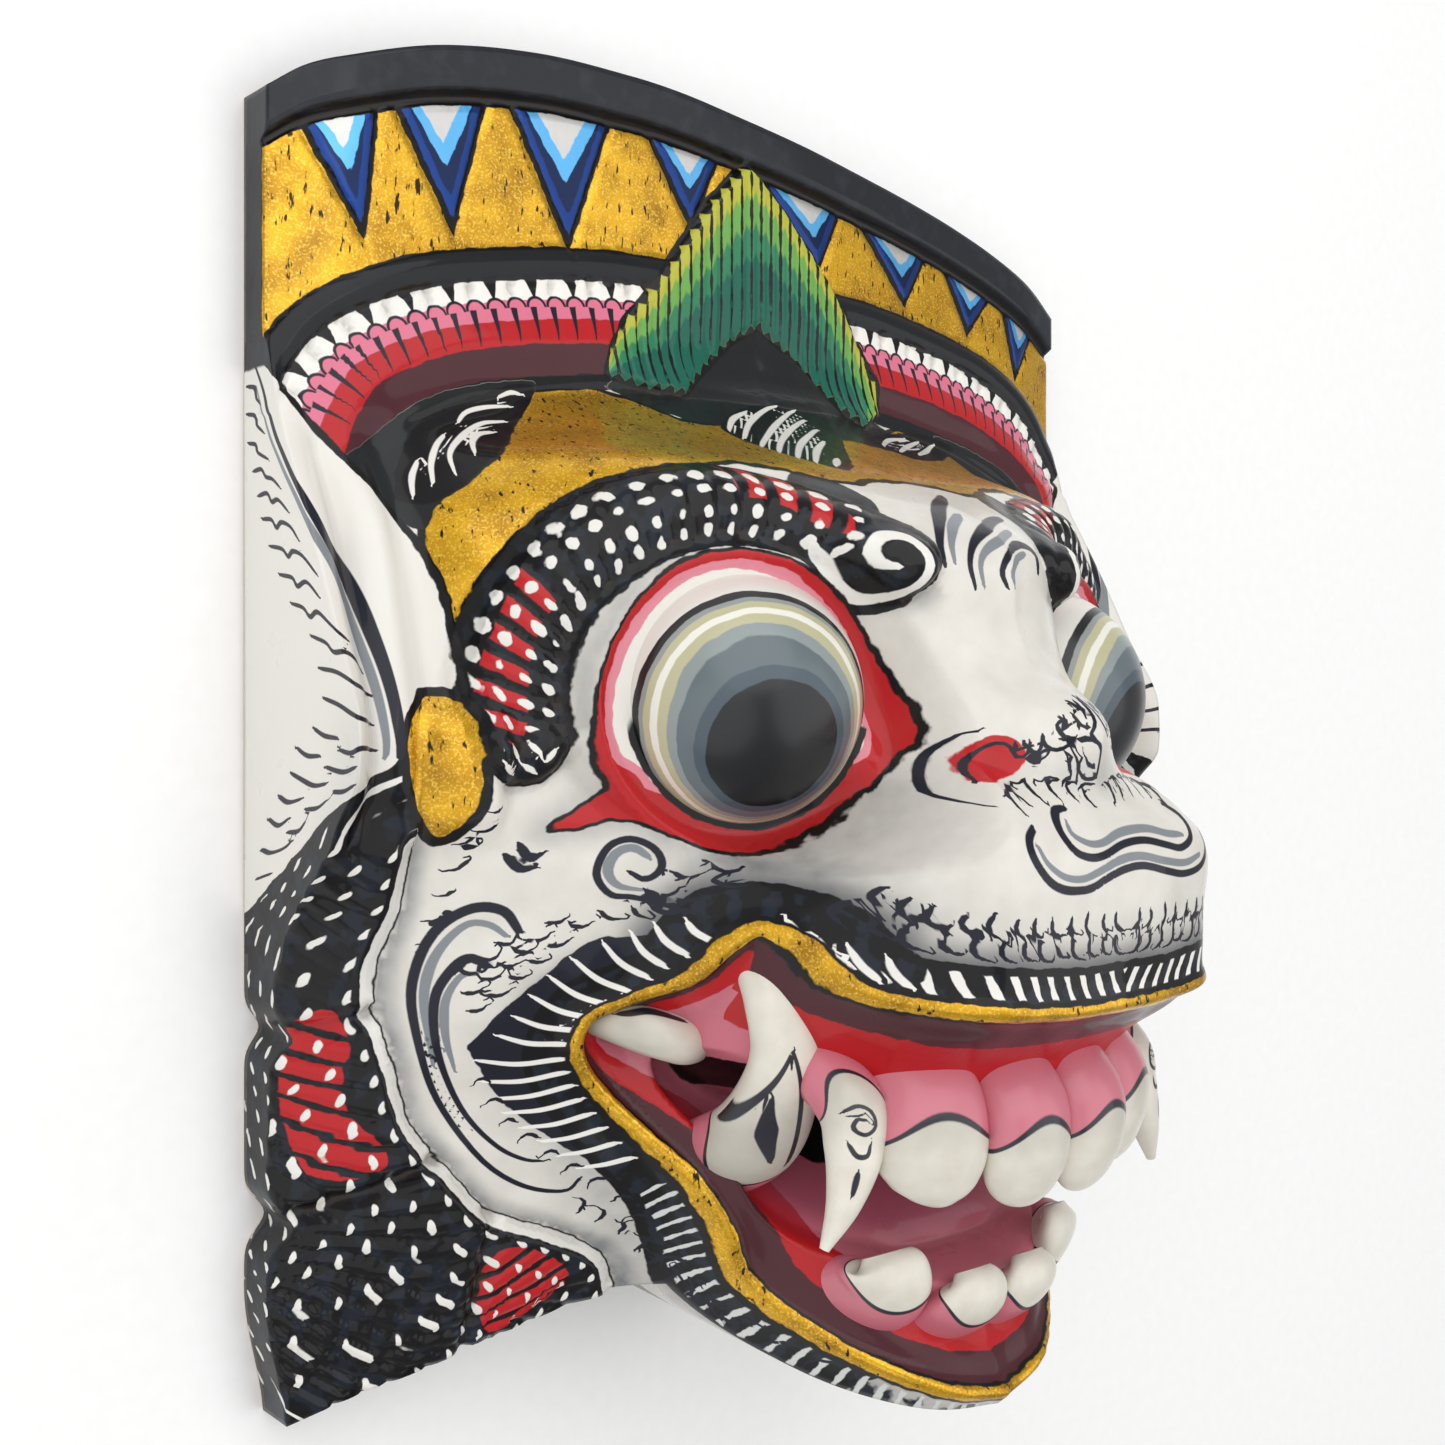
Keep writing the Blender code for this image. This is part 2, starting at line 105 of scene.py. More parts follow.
PIT = [
    (0, -67), (-16, -67), (-30, -64.5), (-37, -60), (-43, -56), (-49, -57), (-49, -63), (-45, -70),
    (-41, -77), (-37, -85), (-31, -91), (-20, -95), (-10, -97.5), (0, -98),
]
CHEEK_EDGE = [
    (-88, -22), (-88.5, -32), (-90.5, -42), (-89.5, -50), (-87, -58), (-83.5, -68), (-77.5, -76),
    (-70.5, -84), (-60, -88.5), (-51, -94), (-46, -104),
]
GARLAND = [
    (-101, 50), (-99.3, 54), (-96.6, 58.4), (-89.3, 66.1), (-73.9, 73.4), (-57.4, 77.3), (-39.7, 79.8),
    (-25.6, 80.6), (-5, 80.3),
]

# %% [markdown]
# ## Curves and distances
# Every edge of colour and every ridge is drawn once, on the viewer's left half, as a smooth curve through
# a few points. The distance to that curve then shapes the wood and, later, lays on the paint.

# %% Curve helpers


def hermite(stations, values, at):
    """For places among rising stations: the span each is in, how far along it, and the spans' slopes."""
    stations = np.asarray(stations, float)
    values = np.asarray(values, float)
    gap = np.diff(stations)
    rise = np.diff(values, axis=0) / gap.reshape((-1,) + (1,) * (values.ndim - 1))
    slope = np.empty_like(values)
    slope[0], slope[-1] = rise[0], rise[-1]
    slope[1:-1] = (rise[1:] + rise[:-1]) / 2
    turn = rise[1:] * rise[:-1] <= 0
    slope[1:-1][turn] *= 0.3
    at = np.clip(at, stations[0], stations[-1])
    i = np.clip(np.searchsorted(stations, at, side="right") - 1, 0, len(gap) - 1)
    return i, (at - stations[i]) / gap[i], gap, slope, values


def blend(stations, values, at):
    """Smooth curve through values at rising stations."""
    i, t, gap, slope, values = hermite(stations, values, at)
    a = values[i] * (2 * t**3 - 3 * t**2 + 1) + values[i + 1] * (3 * t**2 - 2 * t**3)
    return a + gap[i] * (slope[i] * (t**3 - 2 * t**2 + t) + slope[i + 1] * (t**3 - t**2))


def blend_rows(stations, rows, at):
    """As blend, where each station has one value for each point."""
    i, t, gap, slope, rows = hermite(stations, rows.reshape(len(rows), -1), at.ravel())
    n = np.arange(rows.shape[1])
    a = rows[i, n] * (2 * t**3 - 3 * t**2 + 1) + rows[i + 1, n] * (3 * t**2 - 2 * t**3)
    a = a + gap[i] * (slope[i, n] * (t**3 - 2 * t**2 + t) + slope[i + 1, n] * (t**3 - t**2))
    return a.reshape(at.shape)


def smooth(low, high, value):
    """0 at one limit and 1 at the other, with an S-shaped rise between them."""
    t = np.clip((value - low) / (high - low), 0, 1)
    return t * t * (3 - 2 * t)


def rounded(points, per_span=5):
    """A closer polyline through points, by Catmull-Rom."""
    p = np.asarray(points, float)
    ends = np.vstack([2 * p[0] - p[1], p, 2 * p[-1] - p[-2]])
    out = []
    for a, b, c, d in zip(ends, ends[1:], ends[2:], ends[3:]):
        for k in range(per_span):
            t = k / per_span
            curve = 2 * b + (c - a) * t + (2 * a - 5 * b + 4 * c - d) * t**2
            out.append((curve + (3 * b - 3 * c + d - a) * t**3) / 2)
    out.append(p[-1])
    return np.array(out)


def distance(line, x, y):
    """Distance to a polyline, length along it, and +1 or -1 for the side (left of its direction is +1)."""
    best = np.full(x.shape, 1e9)
    along = np.zeros(x.shape)
    side = np.ones(x.shape)
    start = 0.0
    for (ax, ay), (bx, by) in zip(line, line[1:]):
        dx, dy = bx - ax, by - ay
        length = math.hypot(dx, dy) or 1e-9
        t = np.clip(((x - ax) * dx + (y - ay) * dy) / length**2, 0, 1)
        d = np.hypot(x - ax - t * dx, y - ay - t * dy)
        nearer = d < best
        best = np.where(nearer, d, best)
        along = np.where(nearer, start + t * length, along)
        side = np.where(nearer, np.where(dx * (y - ay) - dy * (x - ax) >= 0, 1.0, -1.0), side)
        start += length
    return best, along, side


def inside(line, x, y):
    """True within a closed polyline."""
    found = np.zeros(x.shape, bool)
    for (ax, ay), (bx, by) in zip(line, np.roll(line, -1, axis=0)):
        crosses = (ay > y) != (by > y)
        reach = (bx - ax) * (y - ay) / ((by - ay) or 1e-9) + ax
        found ^= crosses & (x < reach)
    return found


def signed(line, x, y):
    """Distance to the edge of a closed polyline, positive within it."""
    d = distance(np.vstack([line, line[:1]]), x, y)[0]
    return np.where(inside(line, x, y), d, -d)


def whole(left):
    """A closed outline across both halves, from its left half."""
    return np.vstack([left, (left * [-1, 1])[-2:0:-1]])


LIP_LEFT, PIT_LEFT = rounded(LIP), rounded(PIT)
LIP_LOOP, PIT_LOOP = whole(LIP_LEFT), whole(PIT_LEFT)
CHEEK_LINE = rounded(CHEEK_EDGE)
GARLAND_LINE = rounded(GARLAND)
BROW_LINE = np.array(
    [
        (-LID_CENTRE[0] + BROW_RADIUS * math.cos(k), LID_CENTRE[1] + BROW_RADIUS * math.sin(k))
        for k in (math.radians(k) for k in range(192, 44, -6))
    ]
)
print("lip rim", len(LIP_LEFT), "points, brow", len(BROW_LINE), "points")

# %% [markdown]
# ## The carved face
# The real face is cut with gouges from one block: broad forms first, then ribs, grooves and rims. Here it
# is a height over the back for every place (x, y), so each gouge cut is one small term that is added or
# taken away. That suits a relief with no undercuts, and keeps every ridge where the solid has it.

# %% Outline of the block


def crown_top(x):
    return CROWN_TOP + blend(CROWN_ACROSS, CROWN_FALL, x)


def chin_low(x):
    a = np.abs(x)
    jaw = -CHIN_LOW + 0.0052 * a**2 + 0.0000035 * a**4
    return np.minimum(jaw, -99.5 - 0.345 * np.maximum(a - 42, 0))


def half_width(y):
    """Half the mask's width at a height: nicked between the locks of the beard, narrower at the chin."""
    first, second = BEARD_NOTCHES
    notch = 2.6 * ridge(y - first, 3.0) + 3.6 * ridge(y - second, 3.5)
    return HALF_WIDTH - notch - 3.5 * smooth(-98, -122, y)


def base_height(x, y):
    rows = np.array([blend(ACROSS, HEIGHTS[k], np.abs(x)) for k in HEIGHTS])
    return blend_rows(list(HEIGHTS), rows, y)


def ridge(offset, width):
    """A rounded ridge or groove, 1 in its middle."""
    return np.exp(-((offset / width) ** 2))


def ribs(along, pitch):
    """Scallops side by side: 1 on the back of each rib, 0 in the cut between two."""
    return np.sqrt(np.abs(np.sin(np.pi * along / pitch)))


print("crown over the middle", round(float(crown_top(np.zeros(1))[0]), 1), "mm")

# %% [markdown]
# The distances that both the gouge cuts and the paint follow are worked out once for each vertex: how far
# it is from the crown's edge, the garland, the brow, the lips and the edge of the beard.

# %% Distances for every vertex
TRIANGLE_TIPS = [
    (-84.2, 83.5), (-66.8, 87.1), (-42.7, 87.7), (-14.5, 95.4), (19.9, 92.3), (47.2, 89.1), (69.0, 85.9),
    (87.1, 78.5),
]
TRIANGLE_TOPS = [
    (-96.6, -82.1), (-78.8, -61.2), (-54.6, -34.4), (-23.2, -8), (7.3, 25.7), (36.1, 53.8), (63, 77.2),
    (83.2, 94.3),
]
EYE_EDGE = [
    (-19.1, -5.6), (-18.2, -1), (-19.6, 6.5), (-24.5, 16.5), (-32.5, 24.0), (-42.3, 26.6), (-51.5, 24.6),
    (-58.8, 18.6), (-64.0, 9.5), (-65.9, 0.0), (-65.0, -8.0), (-63.0, -12.6), (-66.8, -16.2), (-70.7, -18.9),
    (-66.5, -18.6), (-60.5, -17.2), (-53.3, -20.4), (-47.5, -22.6), (-40.0, -22.6), (-32.0, -19.4),
    (-27.0, -15.6), (-22.5, -9.5),
]
LEAF_OUTER = [
    (-36.8, 62.4), (-35.6, 68.0), (-32.2, 72.8), (-26.6, 78.7), (-21.5, 84.7), (-15.0, 93.5), (-10.6, 99.5),
    (-1.0, 109.0), (8.6, 101.0), (14.2, 95.3), (21.1, 88.6), (26.2, 82.1), (30.8, 75.0), (34.0, 68.5),
    (33.9, 61.8), (26.8, 58.4),
]
LEAF_INNER = [
    (26.8, 58.4), (21.0, 61.6), (16.2, 66.0), (11.0, 70.6), (1.2, 76.6), (-6.5, 72.3), (-21.0, 60.2),
    (-29.1, 60.6), (-36.8, 62.4),
]
LEAF_LOOP = np.array(LEAF_OUTER + LEAF_INNER[1:-1])


def triangle_inset(x, y, wide=1.0, tall=1.0):
    """How far inside a crown triangle, or one drawn smaller within it, a place is from its slanted sides."""
    best = np.full(x.shape, -9.0)
    for (tip_x, tip_y), (left, right) in zip(TRIANGLE_TIPS, TRIANGLE_TOPS):
        top = crown_top(np.array([tip_x]))[0] - CROWN_BAND
        middle = (left + right) / 2
        left, right = middle + wide * (left - middle), middle + wide * (right - middle)
        tip_x, tip_y = middle + (tip_x - middle) * tall, top + (tip_y - top) * tall
        high = top - tip_y
        from_left = ((x - left) * high - (tip_x - left) * (top - y)) / math.hypot(high, tip_x - left)
        from_right = ((right - x) * high - (right - tip_x) * (top - y)) / math.hypot(high, right - tip_x)
        best = np.maximum(best, np.minimum(from_left, from_right))
    return best


def places(x, y):
    """Every distance used by the carving and the paint, in millimetres."""
    a = np.abs(x)
    p = {"x": x, "y": y, "a": a}
    p["edge"] = crown_top(x) - y
    d, s, side = distance(GARLAND_LINE, -a, y)
    p["garland"], p["garland_along"] = -side * d, s
    p["triangle"] = triangle_inset(x, y)
    p["leaf"] = signed(LEAF_LOOP, x, y)
    p["leaf_out"] = distance(LEAF_OUTER, x, y)[0]
    p["leaf_foot"] = distance(LEAF_INNER, x, y)[0]
    d, s, side = distance(BROW_LINE, -a, y)
    p["brow"], p["brow_along"] = side * d, s
    p["brow_rib"] = s - (0.12 + 0.34 * smooth(58, 16, s)) * p["brow"]
    p["curl"] = np.hypot(a - CURL[0], y - CURL[1])
    p["lip"] = signed(LIP_LOOP, x, y)
    p["lip_along"] = distance(LIP_LEFT, -a, y)[1]
    p["pit"] = signed(PIT_LOOP, x, y)
    d, s, side = distance(CHEEK_LINE, -a, y)
    p["beard"], p["beard_along"] = -side * d, s
    p["eye"] = signed(rounded(EYE_EDGE + EYE_EDGE[:1], 4)[:-1], -a, y)
    return p


# %% [markdown]
# The beard has three locks on each side and a fourth under the cheek. In each one, ribs run outwards and
# down from the white edge along the cheek. `beard_locks` gives the length along the cheek that counts the
# ribs, and how far a place is from each cut between the locks.

# %% Locks and ribs of the beard


def beard_locks(p):
    out = p["beard"]
    along = p["beard_along"] + 0.022 * np.clip(out, 0, 40) ** 2 + 0.25 * out
    first = p["y"] - (BEARD_NOTCHES[0] + 0.46 * (HALF_WIDTH - p["a"]))
    second = p["y"] - (BEARD_NOTCHES[1] + 0.52 * (HALF_WIDTH - p["a"]))
    fourth = (p["a"] - 70.3) * 0.98 + (p["y"] + 83) * 0.02
    return along, first, second, fourth


def carve(p):
    """Height of the carved and ribbed face over the back."""
    x, y, a = p["x"], p["y"], p["a"]
    z = base_height(x, y)

    # The crown's raised rim and its groove, then fine cuts beside the triangles.
    z = z + 1.6 * (1 - smooth(RIM_WIDTH - 0.7, RIM_WIDTH + 0.7, p["edge"]))
    z = z - 0.9 * ridge(p["edge"] - RIM_WIDTH - 1.3, 0.8)
    beside_leaf = smooth(0.5, -0.5, p["leaf"])
    open_crown = smooth(9, 10.5, p["edge"]) * smooth(-7.0, -6.0, -p["garland"]) * beside_leaf
    z = z - 0.5 * open_crown * ridge(p["triangle"] + 0.9, 0.7)

    # The garland: a cord, a row of scallops and a rounded band.
    over = smooth(44, 52, y) * beside_leaf
    cord = 1.6 * np.sqrt(np.clip(1 - ((p["garland"] + 3.0) / 3.0) ** 2, 0, 1))
    from_notch = np.abs((p["garland_along"] % SCALLOP_PITCH) - SCALLOP_PITCH / 2)
    notch = smooth(1.2, 0.5, from_notch) * smooth(3.4, 2.8, p["garland"])
    scallop = 1.1 * smooth(-0.1, 0.6, p["garland"]) * smooth(21, 19, p["garland"]) * (1 - 0.8 * notch)
    z = z + over * (cord + scallop + 2.2 * ridge(p["garland"] - 11, 5.5))

    # The leaf over the brow, with veins.
    leaf = smooth(-0.5, 0.8, p["leaf"])
    vein = ridge(((x + 0.12 * np.abs(x + 1) + 0.5) % VEIN_PITCH) - VEIN_PITCH / 2, 0.4)
    z = z + leaf * (2.6 - 0.4 * vein)

    # The ear: a fold behind the ridge, then a rounded inner leaf.
    ear = smooth(58, 30, y) * smooth(-30, -12, y)
    z = z - 2.2 * ear * ridge(a - 96.0, 1.8) + 3.0 * ear * ridge(a - 90.0, 3.6)
    z = z + 5.5 * np.exp(-(((a - 82) / 5.0) ** 4) - ((y + 9.5) / 11.0) ** 4)

    # The brow: a roll with ribs across it, ending in a curl.
    roll = np.sqrt(np.clip(1 - (p["brow"] / BROW_HALF) ** 2, 0, 1))
    cut = (1 - ribs(p["brow_rib"], BROW_RIB)) * smooth(86, 78, p["brow_along"])
    z = z + 4.6 * roll - 1.1 * smooth(0, 0.5, roll) * cut
    z = z + 3.0 * np.sqrt(np.clip(1 - (p["curl"] / 6.6) ** 2, 0, 1))

    # The eyelid, a ring that leans outwards.
    ex, ey = a - LID_CENTRE[0], y - LID_CENTRE[1]
    d = np.hypot(ex / 0.96, ey)
    lid = z + (61.0 - 0.36 * ex - z) * smooth(LID_RADIUS + 4, LID_RADIUS - 1, d)
    z = np.where(d < LID_RADIUS + 4, lid, z)
    z = z + 1.6 * ridge(d - LID_RADIUS, 1.5)

    # The nose: tip, wings and nostrils.
    z = z + 12.5 * np.exp(-((a / 13.0) ** 2) - ((y + 1.0) / 7.5) ** 2)
    z = z + 6.5 * np.exp(-(((a - 23.5) / 6.0) ** 2) - ((y + 8.5) / 6.5) ** 2)
    z = z - 4.0 * np.exp(-(((a - 17) / 4.5) ** 2) - ((y + 8.0) / 3.6) ** 2)

    # The beard: a step out of the cheek, the cuts between its locks and the ribs of each.
    along, first, second, fourth = beard_locks(p)
    in_beard = (p["beard"] > 0) & (y < -12)
    step = 3.6 * smooth(0, 3.5, p["beard"]) * smooth(-14, -24, y)
    cut = 2.8 * ridge(first, 1.5) + 2.8 * ridge(second, 1.5)
    cut = cut + 1.8 * ridge(fourth, 1.2) * smooth(-80, -86, y)
    rib = 1.4 * (1 - ribs(along, BEARD_RIB)) * smooth(2.5, 5.0, p["beard"]) * smooth(-14, -24, y)
    z = z + np.where(in_beard, step - np.minimum(cut + rib, 3.4), 0)

    # The mouth: lips that turn in from their rim, gums, and the pit between them.
    z = z + 1.4 * ridge(p["lip"], 2.0)
    lips = np.clip(p["lip"], 0, None)
    z = z - 3.0 * smooth(0, 3, lips) - 7.0 * smooth(2, 11, lips)
    floor = 50.0 + 17.0 * smooth(-66, -94, y) - 10.0 * smooth(10, 50, a)
    z = np.where(p["pit"] > 0, z + (np.minimum(floor, z) - z) * smooth(0, 4, p["pit"]), z)
    return z


# %% [markdown]
# ## The block
# The face becomes a grid of vertices, closer together where the carving is steep. The side walls draw in a
# little to the flat back. A grid is used rather than sculpting, so that every cut stays editable by number.

# %% Grid of the face
COLUMNS = 262
ROWS = 276
WALL_LEVELS = 8
EAR_WALL_PARTS = 6


def spread(slopes, count, least=1.0):
    """Places from 0 to 1, closer together where the slope is steep."""
    weight = np.cumsum(np.concatenate([[0], np.hypot(least, slopes)]))
    return np.interp(np.linspace(0, weight[-1], count + 1), weight, np.linspace(0, 1, len(weight)))


def face_grid():
    """Places and heights of the face's vertices: a coarse grid shows where the carving is steep."""
    coarse_s, coarse_t = np.meshgrid(np.linspace(-1, 1, 121), np.linspace(0, 1, 121))
    x = coarse_s * HALF_WIDTH
    y = chin_low(x) + coarse_t * (crown_top(x) - chin_low(x))
    z = carve(places(x, y))
    across = np.abs(np.diff(z, axis=1)).mean(axis=0) / (2 * HALF_WIDTH / 120)
    upwards = np.abs(np.diff(z, axis=0)).mean(axis=1) / 2.0
    across = (across + across[::-1]) / 2
    s, t = np.meshgrid(2 * spread(across, COLUMNS) - 1, spread(upwards, ROWS))
    x = s * HALF_WIDTH
    y = chin_low(x) + t * (crown_top(x) - chin_low(x))
    x = s * half_width(y)
    return x, y, carve(places(x, y))


def new_piece(name, points, faces):
    """A closed mesh from points in millimetres."""
    mesh = bpy.data.meshes.new(name)
    mesh.from_pydata([(px * MM, (py + SHIFT_Y) * MM, pz * MM) for px, py, pz in points], [], faces)
    edit = bmesh.new()
    edit.from_mesh(mesh)
    bmesh.ops.recalc_face_normals(edit, faces=edit.faces)
    edit.to_mesh(mesh)
    edit.free()
    made = bpy.data.objects.new(name, mesh)
    bpy.context.scene.collection.objects.link(made)
    return made


def select_only(piece):
    bpy.ops.object.select_all(action="DESELECT")
    piece.select_set(True)
    bpy.context.view_layer.objects.active = piece


def store(piece, name, values):
    """Keep three values for each vertex of a piece under one name."""
    piece.data.attributes.new(name, "FLOAT_VECTOR", "POINT").data.foreach_set("vector", values.ravel())


def block():
    """The face with its side walls and flat back, as one closed mesh."""
    x, y, z = face_grid()
    rows, columns = x.shape
    points = [tuple(q) for q in np.stack([x, y, z], axis=-1).reshape(-1, 3)]
    number = np.arange(rows * columns).reshape(rows, columns)
    level = np.abs(z[:-1, :-1] - z[1:, 1:]) < np.abs(z[:-1, 1:] - z[1:, :-1])
    faces = []
    for r in range(rows - 1):
        for c in range(columns - 1):
            low, right, high, left = number[r, c], number[r, c + 1], number[r + 1, c + 1], number[r + 1, c]
            if level[r, c]:
                faces += [(low, right, high), (low, high, left)]
            else:
                faces += [(low, right, left), (right, high, left)]
    rim = [*number[0, :-1], *number[:-1, -1], *number[-1, :0:-1], *number[:0:-1, 0]]
    falls = []
    for top, (px, py, pz) in [(k, points[k]) for k in rim]:
        # The wall beside the ear carries fine brushwork, so its levels are cut into more parts.
        parts = EAR_WALL_PARTS if abs(px) > HALF_WIDTH - 2.5 and -42 < py < 62 else 1
        fall = [top]
        for n in range(1, WALL_LEVELS * parts + 1):
            share = n / (WALL_LEVELS * parts)
            tuck = 0.10 * max(0.0, pz - 30) * share if py < -90 else 0.0
            fall.append(len(points))
            points.append((px * (1 - 0.002 * tuck), py + tuck, pz * (1 - share)))
        falls.append(fall)
    for here, there in zip(falls, falls[1:] + falls[:1]):
        levels = WALL_LEVELS if len(here) != len(there) else len(here) - 1
        a, b = (len(here) - 1) // levels, (len(there) - 1) // levels
        for n in range(levels):
            faces.append((*here[n * a : n * a + a + 1], *there[n * b : n * b + b + 1][::-1]))
    faces.append(tuple(fall[-1] for fall in falls))
    return new_piece("carved_mask", points, faces)


carved = block()
print("carved block", len(carved.data.vertices), "vertices")

# %% [markdown]
# ## The hollow behind the face
# A mask is hollowed from behind to make it light and to keep it from splitting. The cutter is a dome that
# never comes nearer than WALL to the face, and an exact Boolean takes it out of the block.

# %% Hollow
HOLLOW_HALF = 74.0
HOLLOW_Y = -13.0
HOLLOW_DEPTH = 60.0
HOLLOW_ROUND = 2.6


def inner_limit(px, py):
    """Height that leaves a wall under the face, also beside the steep places near by."""
    low = carve(places(px, py))
    for dx, dy in ((7, 0), (-7, 0), (0, 7), (0, -7)):
        low = np.minimum(low, carve(places(px + dx, py + dy)) + 2)
    return low - WALL


def hollow_cutter():
    rings, around = 22, 90
    turn = np.linspace(0, 2 * np.pi, around, endpoint=False)
    power = 2 / HOLLOW_ROUND
    cx, cy = (np.sign(c) * np.abs(c) ** power * HOLLOW_HALF for c in (np.cos(turn), np.sin(turn)))
    points = [(px, py + HOLLOW_Y, -6.0) for px, py in zip(cx, cy)]
    for k in range(rings):
        share = math.cos(0.5 * math.pi * k / rings)
        px, py = cx * share, cy * share + HOLLOW_Y
        dome = HOLLOW_DEPTH * (1 - share**HOLLOW_ROUND) ** (1 / HOLLOW_ROUND)
        pz = np.clip(np.minimum(dome, inner_limit(px, py)), 0.0, None) + 0.02 * k
        points += [tuple(q) for q in np.stack([px, py, pz], axis=-1)]
    points.append((0, HOLLOW_Y, HOLLOW_DEPTH))
    faces = []
    for ring in range(rings):
        for k in range(around):
            a, b = ring * around + k, ring * around + (k + 1) % around
            faces.append((a, b, b + around, a + around))
    last = rings * around
    faces += [(last + k, last + (k + 1) % around, len(points) - 1) for k in range(around)]
    faces.append(tuple(range(around)))
    return new_piece("hollow_cutter", points, faces)


cutter = hollow_cutter()
step = carved.modifiers.new("hollow", "BOOLEAN")
step.operation, step.solver, step.object = "DIFFERENCE", "EXACT", cutter
select_only(carved)
bpy.ops.object.modifier_apply(modifier=step.name)
bpy.data.objects.remove(cutter, do_unlink=True)
for polygon in carved.data.polygons:
    polygon.use_smooth = True
print("hollowed block", len(carved.data.vertices), "vertices,", len(carved.data.polygons), "faces")

# %% [markdown]
# ## Where the paint goes
# The painter lays flat coats one over another, then draws with a fine brush. Each vertex keeps its
# distance from every edge of colour, and the material turns those distances into crisp edges. That stays
# sharp at any size, which a painted image would not.

# %% Distances of the finished block
position = np.zeros(3 * len(carved.data.vertices))
carved.data.vertices.foreach_get("co", position)
position = position.reshape(-1, 3) / MM
px, py, pz = position[:, 0], position[:, 1] - SHIFT_Y, position[:, 2]
under = carve(places(px, py)) - pz
# Paint runs on down the walls, so a place on a wall counts as one as far out as it is deep.
side_wall = (under > 0.3) & (np.abs(px) > half_width(py) - 1.2)
low_wall = (under > 0.3) & ~side_wall & (py < chin_low(px) + 9)
spot = places(np.where(side_wall, px + np.sign(px) * under, px), np.where(low_wall, py - under, py))
face_x, left_x, face_y = spot["x"], -spot["a"], spot["y"]


def patches(shapes, x=left_x, y=face_y):
    """How far inside the nearest of some closed shapes each place is, negative outside all."""
    best = np.full(x.shape, -20.0)
    for shape in shapes:
        loop = rounded(list(shape) + [shape[0]], 4)[:-1]
        near = (x > loop[:, 0].min() - 8) & (x < loop[:, 0].max() + 8)
        near &= (y > loop[:, 1].min() - 8) & (y < loop[:, 1].max() + 8)
        best[near] = np.maximum(best[near], signed(loop, x[near], y[near]))
    return best


def strokes(lines, x, y):
    """Brush strokes. Each is (points, half width at the start, in the middle, at the end).

    Gives three measures for each vertex: the offset from the nearest stroke as a share of its half width,
    with a sign for the side, the plain distance from it, and how far inside a broad stroke the vertex is.
    """
    share, near, broad = np.full(x.shape, 4.0), np.full(x.shape, 9.0), np.full(x.shape, -9.0)
    for points, *widths in lines:
        line = rounded(points, 4)
        box = (x > line[:, 0].min() - 3) & (x < line[:, 0].max() + 3)
        box &= (y > line[:, 1].min() - 3) & (y < line[:, 1].max() + 3)
        if not box.any():
            continue
        d, s, side = distance(line, x[box], y[box])
        length = np.hypot(*np.diff(line, axis=0).T).sum()
        first, middle, last = widths
        half = np.interp(s / length, [0, 0.08, 0.5, 0.92, 1], [first * 0.7, first, middle, last, last * 0.7])
        closer = d < near[box]
        share[box] = np.where(closer, np.clip(side * d / half, -4, 4), share[box])
        broad[box] = np.maximum(broad[box], half - d)
        near[box] = np.minimum(near[box], d)
    return share, near, broad


def keep(name, *fields):
    """Store up to three distances on the vertices under one name."""
    values = np.zeros((len(px), 3))
    for k, field in enumerate(fields):
        values[:, k] = field
    store(carved, name, values)


def keep_strokes(name, mirrored, once=()):
    """Store strokes drawn on both halves, and strokes drawn once across the middle."""
    one, two = strokes(mirrored, left_x, face_y), strokes(once, face_x, face_y)
    nearer = two[1] < one[1]
    keep(name, np.where(nearer, two[0], one[0]), np.minimum(one[1], two[1]), np.maximum(one[2], two[2]))


print("measured", len(px), "vertices")

# %% [markdown]
# ## Brush drawing
# Brush strokes are drawn once, on the left half, and mirrored. Fur is many short strokes, so it is laid by
# loops along rows, with small differences from one stroke to the next.

# %% Strokes of the face
BLACK_STROKES = [
    # The two long curls of the cheek.
    ([(-73.5, -35.4), (-75.8, -32.1), (-79.7, -31.6), (-83.8, -34.7), (-86.0, -40.4), (-86.2, -47.7),
      (-83.3, -57.9), (-79.1, -66.3), (-72.4, -75.4), (-65.5, -80.4), (-59.3, -81.7),
      (-57.7, -79.5)], 0.85, 0.5, 0.38),
    ([(-77.1, -41.1), (-79.6, -39.8), (-81.8, -41.9), (-83.4, -46.2), (-82.7, -52.7), (-80.2, -59.4),
      (-75.7, -67.4), (-70.5, -73.0), (-66.0, -75.6), (-63.0, -75.9)], 0.85, 0.45, 0.33),
    # The small curl under the eye, and two commas beside it.
    ([(-50.5, -33.0), (-54.0, -31.6), (-58.6, -30.1), (-61.8, -29.6), (-63.9, -26.2), (-62.5, -21.9),
      (-59.3, -20.6), (-56.1, -22.3), (-55.3, -25.3), (-57.2, -27.2), (-59.3, -26.0)], 0.35, 0.6, 0.5),
    ([(-74.3, -21.4), (-73.0, -23.5), (-71.0, -22.6)], 0.7, 0.8, 0.3),
    ([(-76.1, -23.1), (-74.2, -25.2), (-72.0, -25.0)], 0.7, 0.8, 0.3),
    # The wing of the nose and the arc in the nostril.
    ([(-15.2, -3.0), (-16.5, -3.4), (-17.8, -5.2), (-19.3, -7.5), (-20.9, -10.0), (-21.9, -12.0),
      (-22.4, -13.6), (-21.6, -14.6)], 0.12, 0.28, 0.22),
    ([(-19.4, -10.8), (-18.3, -8.8), (-16.7, -6.9), (-15.0, -5.6), (-13.6, -5.0), (-12.6, -5.6),
      (-12.2, -7.4)], 0.2, 0.3, 0.25),
]
